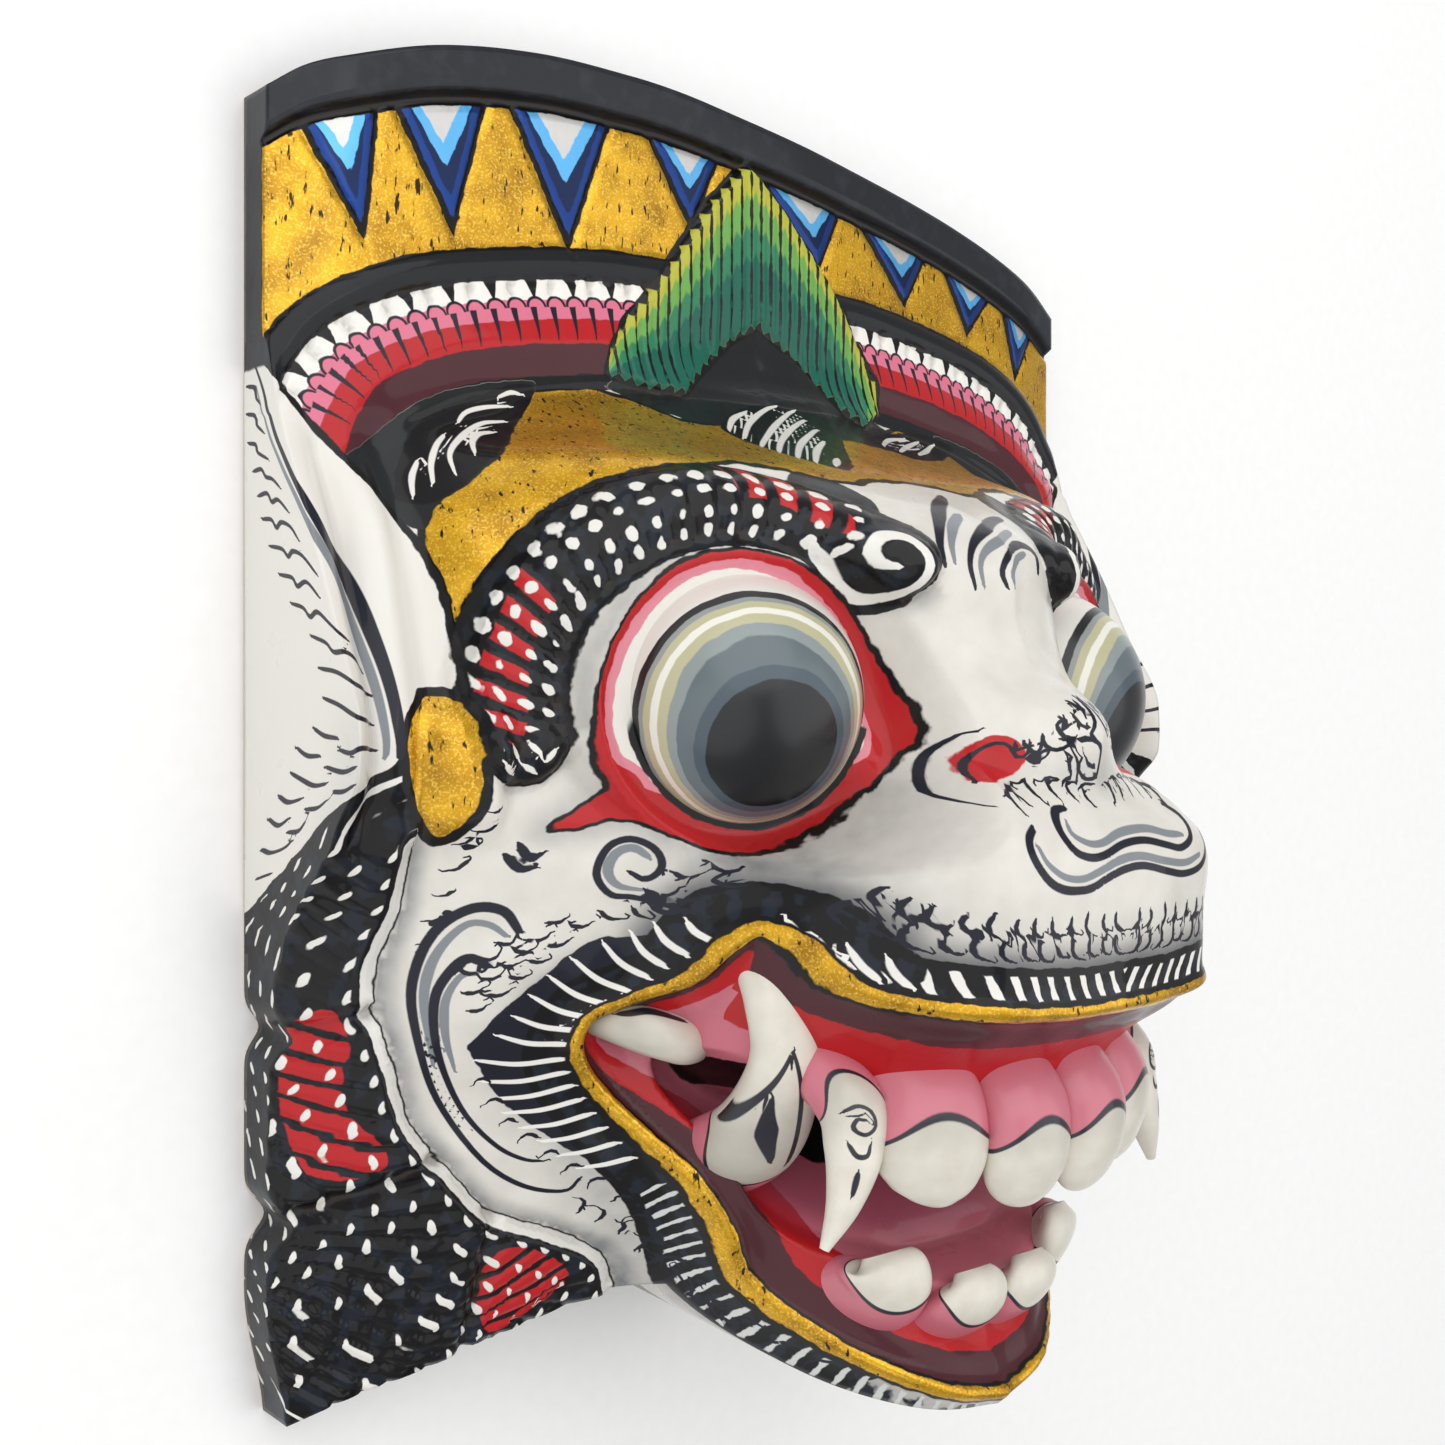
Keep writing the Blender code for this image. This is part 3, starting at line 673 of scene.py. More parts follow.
GREY_STROKES = [
    ([(-75.0, -36.3), (-77.3, -34.4), (-80.2, -34.2), (-83.0, -37.4), (-84.6, -42.0), (-84.6, -48.2),
      (-82.0, -57.9)], 0.5, 0.75, 0.4),
    ([(-78.4, -42.5), (-80.4, -42.8), (-82.0, -47.0), (-81.2, -52.9), (-78.8, -59.0)], 0.5, 0.7, 0.3),
    ([(-57.0, -29.0), (-60.8, -28.2), (-62.4, -25.7), (-61.4, -22.9), (-59.0, -22.0),
      (-56.9, -23.6)], 0.3, 0.8, 0.6),
]
# Drawn once across the middle: the moustache, the curls on the bump over the nose and the swirl under it.
MIDDLE_BLACK = [
    ([(-9.6, -15.2), (-12.0, -15.6), (-13.6, -18.1), (-13.2, -20.4), (-11.6, -22.1), (-8.4, -22.9),
      (-4.8, -22.5), (0.0, -21.2), (5.6, -20.9), (11.3, -22.0), (15.6, -22.7), (19.6, -21.2), (20.2, -18.0),
      (17.6, -15.8)], 0.7, 0.62, 0.6),
    ([(-18.7, -18.0), (-20.6, -19.4), (-21.2, -21.4), (-20.4, -23.8), (-18.2, -26.2), (-14.6, -27.6),
      (-9.7, -27.6), (-5.6, -26.3), (-0.5, -25.1), (4.4, -24.9), (10.5, -26.2), (16.0, -27.0), (21.5, -26.0),
      (25.0, -22.8), (24.6, -19.0)], 0.75, 0.65, 0.6),
    ([(-13.0, 24.5), (-12.6, 28.2), (-9.6, 32.0), (-3.4, 35.8), (4.0, 38.5)], 0.55, 0.9, 0.6),
    ([(-7.7, 20.8), (-8.4, 24.9), (-6.0, 28.6), (0.2, 31.8), (6.6, 33.6), (12.0, 34.5)], 0.45, 0.85, 0.6),
    ([(-1.3, 21.0), (-2.2, 23.8), (0.7, 27.2), (6.0, 28.9), (10.4, 27.7), (9.4, 23.9)], 0.5, 0.8, 0.6),
    ([(-5.9, -5.6), (-3.9, -4.8), (-1.6, -4.6), (0.3, -6.0), (0.8, -8.4), (0.0, -10.6), (-2.2, -10.9),
      (-3.6, -9.2), (-2.9, -7.2)], 0.35, 0.35, 0.3),
    ([(-5.0, -10.2), (-5.2, -7.9), (-4.2, -6.6)], 0.3, 0.35, 0.25),
    ([(-1.7, -8.4), (-1.1, -9.1)], 0.5, 0.5, 0.5),
]
MIDDLE_GREY = [
    ([(-11.4, -17.4), (-11.5, -19.2), (-8.5, -20.7), (-4.9, -20.7), (0.1, -19.4), (6.9, -19.1), (12.4, -20.2),
      (17.0, -20.6)], 0.5, 0.72, 0.6),
    ([(-19.6, -20.6), (-18.6, -23.2), (-15.4, -25.4), (-11.6, -26.0), (-7.4, -25.1), (-1.5, -23.6),
      (3.8, -23.3), (9.5, -24.4), (16.1, -25.2), (21.0, -24.2)], 0.5, 0.72, 0.6),
    ([(-11.2, 25.0), (-10.6, 28.2), (-7.6, 31.4), (-2.4, 34.0)], 0.4, 0.75, 0.6),
    ([(-6.0, 21.0), (-6.4, 24.6), (-4.4, 27.2), (0.8, 29.6), (7.0, 31.4)], 0.4, 0.8, 0.6),
    ([(0.4, 21.2), (0.0, 23.6), (2.4, 26.0), (6.0, 27.2)], 0.4, 0.7, 0.6),
]


def fur_row(line, count, turn, length, lift=0.0, bow=0.32, width=0.36, start=0.0, end=1.0):
    """Short bowed strokes along a line, turned from it by an angle in degrees."""
    path = rounded(line, 6)
    reach = np.concatenate([[0], np.cumsum(np.hypot(*np.diff(path, axis=0).T))])
    made = []
    for k in range(count):
        at = reach[-1] * (start + (end - start) * (k + 0.5) / count)
        cx, cy = np.interp(at, reach, path[:, 0]), np.interp(at, reach, path[:, 1])
        ahead = math.atan2(
            np.interp(at + 0.5, reach, path[:, 1]) - np.interp(at - 0.5, reach, path[:, 1]),
            np.interp(at + 0.5, reach, path[:, 0]) - np.interp(at - 0.5, reach, path[:, 0]),
        )
        wander = 0.16 * math.sin(5.1 * k + 1.3 * count)
        aim = ahead + math.radians(turn) + wander
        long = length * (1 + 0.18 * math.sin(3.7 * k + count))
        cx, cy = cx - lift * math.sin(ahead), cy + lift * math.cos(ahead)
        points = []
        cos, sin = math.cos(aim), math.sin(aim)
        for t in (-0.5, -0.25, 0.0, 0.25, 0.5):
            off = bow * long * (1 - 4 * t * t)
            points.append((cx + t * long * cos + off * sin, cy + t * long * sin - off * cos))
        made.append((points, width * 1.25, width, width * 0.45))
    return made


LIP_TOP_ROW = [(-77.5, -50.5), (-69.4, -41.5), (-63.4, -35.0), (-54.3, -33.6), (-50.0, -29.5), (-46.6, -28.4)]
LIP_MIDDLE_ROW = [(-41.5, -30.6), (-38.0, -33.4), (-33.0, -35.8), (-24.0, -37.2), (-12.0, -37.6), (0, -37.8)]
JAW_ROW = [
    (-77.0, -60.0), (-71.0, -69.0), (-62.0, -77.0), (-52.0, -84.5), (-46.0, -93.0), (-38.0, -104.0),
    (-26, -113.0),
]
CHEEK_ROW = [(-84.5, -14.0), (-85.5, -24.0), (-87.4, -32.0), (-88.6, -38.5)]
INNER_CHEEK_ROW = [(-78.5, -14.0), (-80.5, -20.0), (-82.3, -26.0)]
CHIN_ROW = [(-60.0, -86.0), (-52.0, -91.5), (-44.0, -101.0), (-37.0, -109.5)]
# Each row: its line, the count, turn and length of its strokes, their lift off the line, bow and width,
# and the share of the line where they start and end.
for row in (
    (LIP_TOP_ROW, 11, -35, 3.0, 1.4, 0.2, 0.32),
    (LIP_TOP_ROW, 6, -35, 3.0, 4.2, 0.2, 0.32, 0.05, 0.5),
    (LIP_TOP_ROW, 4, -35, 3.2, 4.2, 0.32, 0.32, 0.76),
    (LIP_TOP_ROW, 3, -35, 3.0, 7.2, 0.32, 0.3, 0.1, 0.34),
    (LIP_MIDDLE_ROW, 13, -50, 3.8, 0.6, 0.32, 0.36),
    (LIP_MIDDLE_ROW, 12, -50, 3.6, 4.2, 0.32, 0.34),
    (LIP_MIDDLE_ROW, 11, -62, 2.2, 2.6, -0.3, 0.26),
    (JAW_ROW, 16, -120, 2.3, 1.3, 0.32, 0.28),
    (CHEEK_ROW, 6, -48, 2.4, 3.2, -0.2, 0.26),
    (INNER_CHEEK_ROW, 4, -48, 2.4, 0.0, -0.2, 0.26),
    (CHIN_ROW, 9, 150, 2.6, 3.2, 0.32, 0.28),
):
    BLACK_STROKES += fur_row(*row)
# Hooks of fur under the nostril: a small arc with a thicker stroke hanging from it.
NOSE_HOOKS = [(-17.6, -12.6), (-15.4, -11.4), (-12.4, -10.9), (-9.2, -10.7), (-6.0, -11.0), (-3.0, -11.9)]
for k, (hook_x, hook_y) in enumerate(NOSE_HOOKS):
    tilt = -0.5 + 0.14 * k
    arc = [(hook_x - 1.3, hook_y - 0.5), (hook_x, hook_y + 0.2), (hook_x + 1.5, hook_y - 0.1)]
    stem = [(hook_x - 0.4, hook_y - 0.2), (hook_x - 0.7 + 0.3 * tilt, hook_y - 1.7)]
    stem.append((hook_x + tilt, hook_y - 3.2))
    BLACK_STROKES += [(arc, 0.2, 0.26, 0.2), (stem, 0.24, 0.36, 0.2)]
# Sprigs up the side of the nose.
BLACK_STROKES += [
    ([(-10.9, -5.1), (-10.4, -6.3), (-9.1, -6.9)], 0.4, 0.45, 0.2),
    ([(-11.2, -7.3), (-10.3, -8.2), (-9.0, -7.4)], 0.4, 0.45, 0.2),
    ([(-8.7, -4.1), (-8.6, -5.4), (-7.4, -6.2), (-5.6, -5.8)], 0.4, 0.35, 0.3),
    ([(-5.6, -1.0), (-5.1, -2.4)], 0.45, 0.45, 0.4),
    ([(-6.5, -2.4), (-6.2, -3.9), (-4.5, -4.2)], 0.4, 0.35, 0.3),
    ([(-3.6, -0.6), (-3.5, -2.0), (-2.2, -2.8)], 0.3, 0.35, 0.25),
    ([(-2.4, 1.4), (-1.4, -0.6)], 0.45, 0.45, 0.35),
    ([(-0.2, 2.4), (-0.5, 0.0), (-1.0, -2.0), (-2.4, -4.0)], 0.3, 0.35, 0.3),
]
# The ear: the black and grey lines of its ridge, and hooks of fur down its outer side and over its root.
EAR_RIDGE = [
    (-107.0, 58.6), (-105.4, 54.3), (-104.6, 50.2), (-104.0, 46.0), (-102.6, 39.8), (-100.7, 34.4),
    (-98.6, 28.7), (-96.2, 23.3), (-94.7, 17.7), (-93.6, 11.4), (-92.8, 5.9), (-92.2, 0.5), (-91.8, -4.4),
    (-91.9, -7.0),
]
BLACK_STROKES += [(EAR_RIDGE, 0.45, 1.05, 1.0)]
GREY_STROKES += [([(qx - 2.1, qy) for qx, qy in EAR_RIDGE[1:]], 0.3, 0.95, 0.6)]
EAR_HOOKS = [
    [(-110.8, 54.9), (-107.9, 54.3), (-108.3, 52.8), (-107.2, 51.6)],
    [(-112.2, 50.2), (-109.4, 49.6), (-109.9, 48.1), (-108.0, 46.5)],
    [(-114.2, 45.2), (-111.7, 44.7), (-111.9, 43.4), (-109.0, 41.9)],
    [(-115.3, 40.3), (-112.3, 40.4), (-111.5, 39.0), (-109.4, 38.4), (-107.6, 36.8)],
    [(-116.0, 36.0), (-112.6, 36.2), (-111.8, 34.6), (-109.4, 34.8), (-107.0, 32.6)],
    [(-116.8, 32.0), (-113.6, 31.7), (-112.6, 30.2), (-110.4, 31.0), (-107.6, 30.0), (-106.0, 27.7)],
    [(-116.5, 27.3), (-112.5, 26.6), (-111.0, 25.2), (-109.0, 26.0), (-106.0, 25.0), (-102.8, 21.8)],
    [(-115.6, 22.4), (-111.4, 21.7), (-110.4, 20.2), (-106.9, 20.8), (-103.9, 18.2)],
    [(-113.9, 17.5), (-110.2, 16.7), (-108.6, 15.1), (-105.8, 15.9), (-102.7, 13.9), (-99.2, 11.3)],
    [(-110.1, 12.1), (-105.8, 10.9), (-104.3, 9.4), (-100.0, 9.3), (-96.4, 6.5)],
    [(-110.7, 6.9), (-105.4, 6.3), (-100.7, 4.6), (-95.4, 2.6)],
    [(-111.6, 2.2), (-106.9, 1.2), (-102.3, -0.3), (-95.9, -1.9)],
    [(-115.6, -2.6), (-112.0, -3.7), (-107.5, -4.0)],
    [(-107.2, -5.8), (-103.4, -6.2), (-100.2, -5.4), (-95.4, -6.0)],
    [(-121.7, -5.8), (-118.0, -7.0), (-113.5, -6.9)],
    [(-111.6, -8.6), (-105.8, -9.2), (-101.8, -8.3)],
    [(-123.4, -10.0), (-119.3, -10.9), (-114.6, -11.7), (-110.6, -11.2)],
    [(-108.0, -12.4), (-104.4, -12.2), (-101.6, -11.0)],
    [(-125.2, -13.9), (-120.8, -14.8), (-116.8, -14.0)],
    [(-113.8, -15.6), (-110.2, -15.2), (-108.4, -13.8)],
    [(-125.2, -17.9), (-121.0, -18.8), (-118.0, -17.3)],
    [(-117.1, -19.7), (-113.4, -19.2), (-112.1, -17.4)],
    [(-123.8, -23.1), (-119.9, -23.5), (-116.6, -22.4), (-114.8, -20.9)],
    [(-119.5, -28.2), (-116.4, -27.0)],
]
BLACK_STROKES += [(hook, 0.38, 0.44, 0.34) for hook in EAR_HOOKS]
# Hairs drawn in white on the black corners of the mouth, fanning out from the lip's rim, from tip to root.
HAIRS = [
    ((-58.3, -36.0), (-53.6, -41.6)), ((-61.9, -37.6), (-55.0, -43.6)), ((-65.6, -40.2), (-57.0, -46.0)),
    ((-68.3, -43.2), (-58.6, -48.6)), ((-70.4, -46.4), (-60.4, -50.7)), ((-72.2, -49.9), (-62.6, -52.6)),
    ((-74.1, -53.0), (-64.0, -55.0)), ((-76.0, -57.4), (-63.8, -57.6)), ((-74.6, -61.2), (-62.9, -60.0)),
    ((-72.6, -64.4), (-61.6, -62.4)), ((-70.3, -67.0), (-60.0, -65.0)), ((-67.4, -69.8), (-58.2, -67.6)),
    ((-64.4, -72.4), (-56.2, -70.2)), ((-61.2, -75.0), (-54.2, -72.8)), ((-58.0, -77.4), (-52.0, -75.4)),
    ((-55.6, -34.6), (-52.0, -39.4)), ((-52.4, -33.8), (-50.2, -37.0)), ((-44.4, -32.6), (-42.4, -36.6)),
    ((-42.6, -34.6), (-39.8, -39.8)), ((-39.9, -36.4), (-37.4, -41.4)), ((-36.9, -37.8), (-34.9, -42.2)),
]
WHITE_HAIRS = []
for (tip_x, tip_y), (root_x, root_y) in HAIRS:
    middle = ((tip_x + root_x) / 2 + 0.07 * (root_y - tip_y), (tip_y + root_y) / 2 - 0.07 * (root_x - tip_x))
    WHITE_HAIRS.append(([(tip_x, tip_y), middle, (root_x, root_y)], 0.28, 0.42, 0.45))
keep_strokes("ink", BLACK_STROKES, MIDDLE_BLACK)
keep_strokes("grey_ink", GREY_STROKES, MIDDLE_GREY)
keep_strokes("white_ink", WHITE_HAIRS)
print(len(BLACK_STROKES), "black strokes,", len(GREY_STROKES), "grey,", len(WHITE_HAIRS), "white")

# %% [markdown]
# ## Patches of flat colour
# Flat patches are closed outlines. The gold leaf covers the crown and the forehead down to the brows, and
# the other patches are the medallions, the red spots on brow and beard, and the corners of the mouth.

# %% Patches of the face
FOREHEAD = [
    (-82.2, 31.0), (-82.6, 25.0), (-81.4, 20.0), (-80.7, 14.0), (-80.7, 6.0), (-81.6, 3.0), (-81.6, -9),
    (-80.7, 5.1), (-76.8, 18.1), (-69.5, 28.9), (-61.2, 35.8), (-47.9, 41.4), (-34.5, 43.4), (-26, 42.6),
    (-21.5, 40.6), (-14, 40.4), (-8, 41.5), (0, 41.8), (10, 41.5), (10, 54), (-10, 54), (-22, 52.6),
    (-27.5, 53.0), (-33, 57.2), (-39.1, 58.8), (-47.2, 59.0), (-51.8, 58.6), (-54.6, 55.2), (-62.7, 48.2),
    (-69.8, 42.5), (-74.6, 38.4), (-80.0, 34.5),
]
LEAF_GROUND = [
    (-38, 60), (-30, 64), (-12, 68), (-2.4, 78.5), (5, 78.5), (14, 68), (27, 62), (37, 58), (33, 53.4),
    (24, 51.8), (14.5, 52.4), (4, 52.6), (-8, 53.0), (-20, 52.8), (-27, 54.2), (-32, 57.4),
]
MEDALLION_GROUND = [
    (-92, 42), (-86, 32), (-82, 30), (-80, 34), (-74, 38.5), (-62, 48.5), (-52, 58.5), (-60, 58.5), (-75, 54),
    (-86, 46),
]
MEDALLIONS = [
    [(-85.0, 35.2), (-82.5, 41.8), (-78.0, 48.3), (-71.4, 52.7), (-63.6, 55.9), (-56.6, 58.5), (-52.6, 58.1),
     (-54.6, 55.2), (-62.7, 48.2), (-69.8, 42.5), (-74.6, 38.4), (-80.6, 34.5)],
    [(-21.5, 52.3), (-11.6, 57.3), (2.0, 60.8), (11.6, 62.0), (14.5, 59.2), (8.9, 52.8), (-3.3, 45.7),
     (-8.9, 43.1), (-13.9, 44.2), (-18.6, 46.9), (-21.3, 50.0)],
    [(20.7, 54.4), (35.8, 58.0), (50.1, 59.2), (59.0, 56.5), (44.6, 52.3), (30.9, 50.5), (23.3, 51.9)],
]
MEDALLION_STRIPES = [
    [(-82.3, 35.8), (-81.4, 39.1), (-79.6, 42.2)],
    [(-79.1, 38.0), (-77.9, 41.9), (-75.8, 45.2), (-73.5, 47.3)],
    [(-75.6, 40.0), (-74.7, 43.6), (-71.4, 46.8), (-66.0, 50.0), (-61.8, 50.7)],
    [(-69.8, 50.0), (-67.3, 52.2), (-63.3, 53.5), (-59.0, 54.0)],
    [(-71.3, 43.8), (-70.2, 46.0), (-68.1, 47.7), (-65.3, 48.3)],
    [(-60.4, 55.6), (-57.7, 56.8), (-55.5, 56.6)], [(-20.2, 51.8), (-15.1, 55.0), (-9.4, 57.2)],
    [(-20.0, 49.8), (-12.2, 54.4), (-3.1, 58.5), (0.8, 59.7)],
    [(-19.6, 47.9), (-9.1, 53.0), (1.5, 57.8), (5.6, 59.3)],
    [(-18.3, 46.6), (-10.0, 50.8), (-0.7, 54.8), (5.4, 57.0)],
    [(-16.6, 45.4), (-7.8, 49.6), (1.6, 53.4), (5.1, 54.6)], [(-14.2, 44.6), (-7.2, 47.9), (0.8, 51.2)],
    [(-10.4, 44.2), (-5.4, 46.3)], [(24.5, 53.4), (32.5, 55.9), (41.0, 57.3)],
    [(28.5, 52.4), (37.0, 54.8), (46.0, 57.2)], [(36.0, 52.6), (44.0, 54.6), (52.0, 57.2)],
]
BROW_RED = [
    [(-73.0, 23.6), (-70.4, 19.6), (-68.4, 16.8), (-70.6, 12.5), (-71.6, 8.6), (-73.0, 3.6), (-75.0, -4.4),
     (-78.2, -4.6), (-80.4, 0.6), (-79.2, 7.0), (-76.8, 14.5)],
    [(-40.5, 42.5), (-33.0, 41.4), (-28.6, 37.4), (-25.4, 32.4), (-27.6, 29.2), (-30.8, 31.0), (-33.3, 33.6),
     (-37.0, 35.4), (-40.8, 36.0)],
]
EAR = [
    (-108.5, 61.5), (-104.3, 58.4), (-100.4, 54.6), (-98.6, 50.8), (-96.3, 47.6), (-93.8, 44.2),
    (-91.6, 40.3), (-88.9, 36.4), (-86.5, 32.0), (-84.8, 28.8), (-83.4, 24.9), (-82.2, 20.4), (-81.5, 16.0),
    (-81.5, 11.0), (-81.5, 6.0), (-82.4, 3.0), (-87.4, 2.2), (-90.1, -2.0), (-91.6, -6.5), (-95.1, -9.8),
    (-101.1, -12.9), (-105.4, -16.0), (-109.0, -20.0), (-112.0, -24.2), (-114.6, -29.4), (-117.4, -33.4),
    (-122.0, -35.4), (-132, -37), (-150, -38), (-150, 10), (-150, 61), (-128, 61.6), (-116, 61.6),
]
CURL_BLACK = [
    [(-30.0, 37.5), (-25.0, 41.5), (-18.5, 40.2), (-16.6, 36.0), (-18.9, 31.5), (-16.4, 27.8), (-16.6, 22.0),
     (-19.0, 17.6), (-24.0, 15.9), (-27.8, 18.0), (-31.6, 23.6), (-34.0, 29.5)],
]
# The white curl at one end of the brow, and single touches round its other end.
CURL_WHITE = [
    ([(-80.2, -4.4), (-79.6, -6.8)], 0.4, 0.5, 0.35),
    ([(-78.6, -8.4), (-77.0, -9.8)], 0.4, 0.5, 0.35),
    ([(-77.0, -5.6), (-76.0, -7.4)], 0.4, 0.5, 0.35),
    ([(-74.9, -8.6), (-73.2, -9.6)], 0.4, 0.5, 0.35),
    ([(-73.8, -5.0), (-72.6, -6.8)], 0.4, 0.5, 0.35),
    ([(-71.6, -7.8), (-70.2, -6.0)], 0.4, 0.5, 0.35),
    ([(-31.6, 27.6), (-29.4, 24.0), (-27.0, 20.6), (-24.0, 18.6), (-21.0, 19.6), (-19.3, 22.6), (-19.4, 26.4),
      (-21.4, 28.8), (-24.2, 28.9), (-26.0, 26.8), (-25.4, 24.3), (-23.4, 23.8)], 0.9, 0.85, 0.8),
]
BEARD_RED = [
    [(-98.4, -50.5), (-95.3, -48.5), (-93.2, -53), (-93.6, -61.8), (-92.0, -66.5), (-87.0, -73.6),
     (-91.0, -77.2), (-96.6, -76.6), (-99.0, -70.3), (-100.3, -63.1), (-99.6, -56.0)],
    [(-70.0, -101.5), (-69.6, -92.6), (-64.5, -91.0), (-56.0, -97.5), (-60.5, -103.4), (-67.2, -107.1)],
]
MOUTH_CORNER = [
    [(-78.0, -55.0), (-74.0, -48.6), (-69.4, -43.4), (-63.4, -37.2), (-56.5, -36.4), (-52.0, -33.0),
     (-48.5, -29.9), (-45.8, -30.4), (-43.8, -34.0), (-46.0, -38.0), (-50.0, -42.0), (-57, -47.9), (-61, -55),
     (-56, -66), (-46, -78), (-41.5, -86.0), (-42.6, -89.8), (-46.8, -85.4), (-52.6, -79.4), (-59.2, -74.6),
     (-66.0, -69.5), (-72.0, -63.8)],
]
NOSTRIL = [
    [(-20.0, -11.4), (-18.7, -8.6), (-17.0, -5.9), (-15.0, -4.2), (-13.0, -3.8), (-11.5, -4.8), (-11.0, -6.6),
     (-11.7, -8.6), (-14.0, -10.2), (-17.6, -11.2)],
]
EAR_DROP = [
    [(-86.8, 2.8), (-90.6, -2.5), (-91.0, -8.5), (-88.8, -15.5), (-85.4, -20.6), (-82.0, -17.5),
     (-80.3, -10.7), (-80.6, -3.0), (-82.0, 2.6)],
]
DEEP_BLACK = [
    [(-33, -62), (-28, -66), (-23.5, -77), (-19, -79.5), (-13, -77.5), (-12, -70.0), (-20, -66),
     (-27, -62.5)],
    [(-43.5, -58.5), (-39, -64.8), (-34, -64.8), (-34, -60.0), (-38, -58.5)],
]

# The gold stops at the garland below, and starts again above it.
gold = np.minimum(signed(np.array(FOREHEAD), left_x, face_y), spot["garland"] - 20.0)
gold = np.maximum(gold, np.minimum(spot["edge"] - CROWN_BAND, -spot["garland"] - 5.6))
black_ground = np.maximum(patches([LEAF_GROUND], face_x), patches([MEDALLION_GROUND]))
leaf_share = spot["leaf_out"] / np.maximum(spot["leaf_out"] + spot["leaf_foot"], 1)
brow_black = np.maximum(BROW_HALF + 0.4 - np.abs(spot["brow"]), patches(CURL_BLACK))
# The ribs run straight on down the wall.
rib_along = beard_locks(places(px, py))[0] + 0.2 * np.where(side_wall, under, 0)
rib_slope = np.where(side_wall, 0.2, 0.25 + 0.044 * np.clip(spot["beard"], 0, 40))
in_beard = np.where(face_y < -6, spot["beard"], -9.0)
ear = patches([EAR])
bare_wall = np.where(face_y > 40, np.minimum(under - 0.5, face_y - 57.5), -9.0)


def ring_angle(x, y, z):
    """Angle from the pupil to a place seen from the eyeball's centre, on the left half."""
    out = np.stack([x + EYE[0], y - EYE[1], z - EYE[2]], axis=-1)
    seen = out / np.linalg.norm(out, axis=-1, keepdims=True) @ np.array(SIGHT).T
    near = np.degrees(np.arccos(np.clip(seen @ np.array(PUPIL_AXIS), -1, 1)))
    far = np.degrees(np.arccos(np.clip(seen @ np.array(RING_AXIS), -1, 1)))
    return near + (far - near) * smooth(31, 62, near)


# The pupil looks down and outwards, and the outer rings lean less than it does.
LAST_RING = 66.8
PUPIL_AXIS = Vector((0.30, -0.38, 0.87)).normalized()
RING_AXIS = Vector((0.26, -0.21, 0.942)).normalized()
SIGHT = ((0.766, 0, 0.6428), (0, 1, 0), (-0.6428, 0, 0.766))

# A soft grey lies round the mouth, along the beard, under the eye and beside the brow, and under the nose,
# along the jaw and low on the ear's wall: partly the mask's airbrushed grey and partly painted shade.
shade = 0.55 * smooth(-17, -6, spot["lip"]) * (spot["lip"] < 0)
shade = shade + 0.9 * smooth(-3.4, -0.3, in_beard) * (in_beard < 0)
shade = shade + 0.5 * smooth(-5, -0.5, spot["eye"]) * (spot["eye"] < 0) * smooth(-4, -14, face_y)
shade = shade + 0.5 * ridge(spot["brow"] + 8.6, 1.8) * smooth(0, 1, spot["brow_along"])
shade = shade + 0.45 * np.exp(-((spot["a"] / 10.0) ** 2) - ((face_y + 10.5) / 3.2) ** 2)
shade = shade + 0.35 * ridge(face_y + 96 + 0.5 * spot["a"], 9) * (spot["lip"] < 0)
shade = shade * (ear < 0) + 0.35 * ridge(spot["a"] - 103, 7) * smooth(6, -6, face_y) * (ear > 0)

keep("crown", spot["edge"], spot["triangle"], face_x)
keep("vees", *[triangle_inset(face_x, face_y, wide, tall) for wide, tall in ((0.80, 0.58), (0.54, 0.38))])
keep("touch", rib_slope / (1 + rib_slope**2), np.sqrt(1 + rib_slope**2))
keep("garland", spot["garland"], spot["garland_along"], gold)
keep("leaf", spot["leaf"], leaf_share, black_ground)
keep("brow", spot["brow"], spot["brow_rib"], brow_black)
keep("spots", patches(BROW_RED), patches(MEDALLIONS, face_x), spot["brow_along"])
keep("eye", spot["eye"], patches(EAR_DROP), patches(NOSTRIL))
# The black ring round the eyeball, and the red of the lid, which is wider below and in the inner corner.
socket = np.linalg.norm(np.stack([-np.abs(px) + EYE[0], py - EYE[1], pz - EYE[2]]), axis=0) - EYE_RADIUS
low_lid = 4.0 * smooth(-3, -14, face_y) * smooth(-66, -58, left_x)
low_lid = np.maximum(low_lid, 3.2 * smooth(-28, -21, left_x) * smooth(14, 5, face_y))
keep("socket", socket, spot["eye"] - low_lid, ring_angle(left_x, py, pz))
keep("lip", spot["lip"], spot["lip_along"], spot["pit"])
above_lip = smooth(-60, -44, face_y) * (spot["lip"] < 0)
keep("corner", patches(MOUTH_CORNER), patches(DEEP_BLACK), above_lip)
keep("beard", in_beard, rib_along, patches(BEARD_RED))
keep("side", ear, np.clip(shade, 0, 1), bare_wall)
keep_strokes("curl_white", CURL_WHITE, [(stripe, 0.28, 0.42, 0.3) for stripe in MEDALLION_STRIPES])
print("stored", len(carved.data.attributes), "attributes")

# %% [markdown]
# ## Paint and varnish
# The wood is pule, a pale light wood, under house-made chalk paint in flat coats and a satin varnish. The
# coats are laid in the painter's order, each over the last, wherever its distance says. Varnish on paint
# has an IOR of about 1.5, and the gold leaf is thin metal over a warm ground, rubbed and specked.

# %% Material helpers


def linear(code):
    """A colour from its sRGB hex value."""
    parts = [int(code[k : k + 2], 16) / 255 for k in (1, 3, 5)]
    return (*[c / 12.92 if c <= 0.04045 else ((c + 0.055) / 1.055) ** 2.4 for c in parts], 1.0)


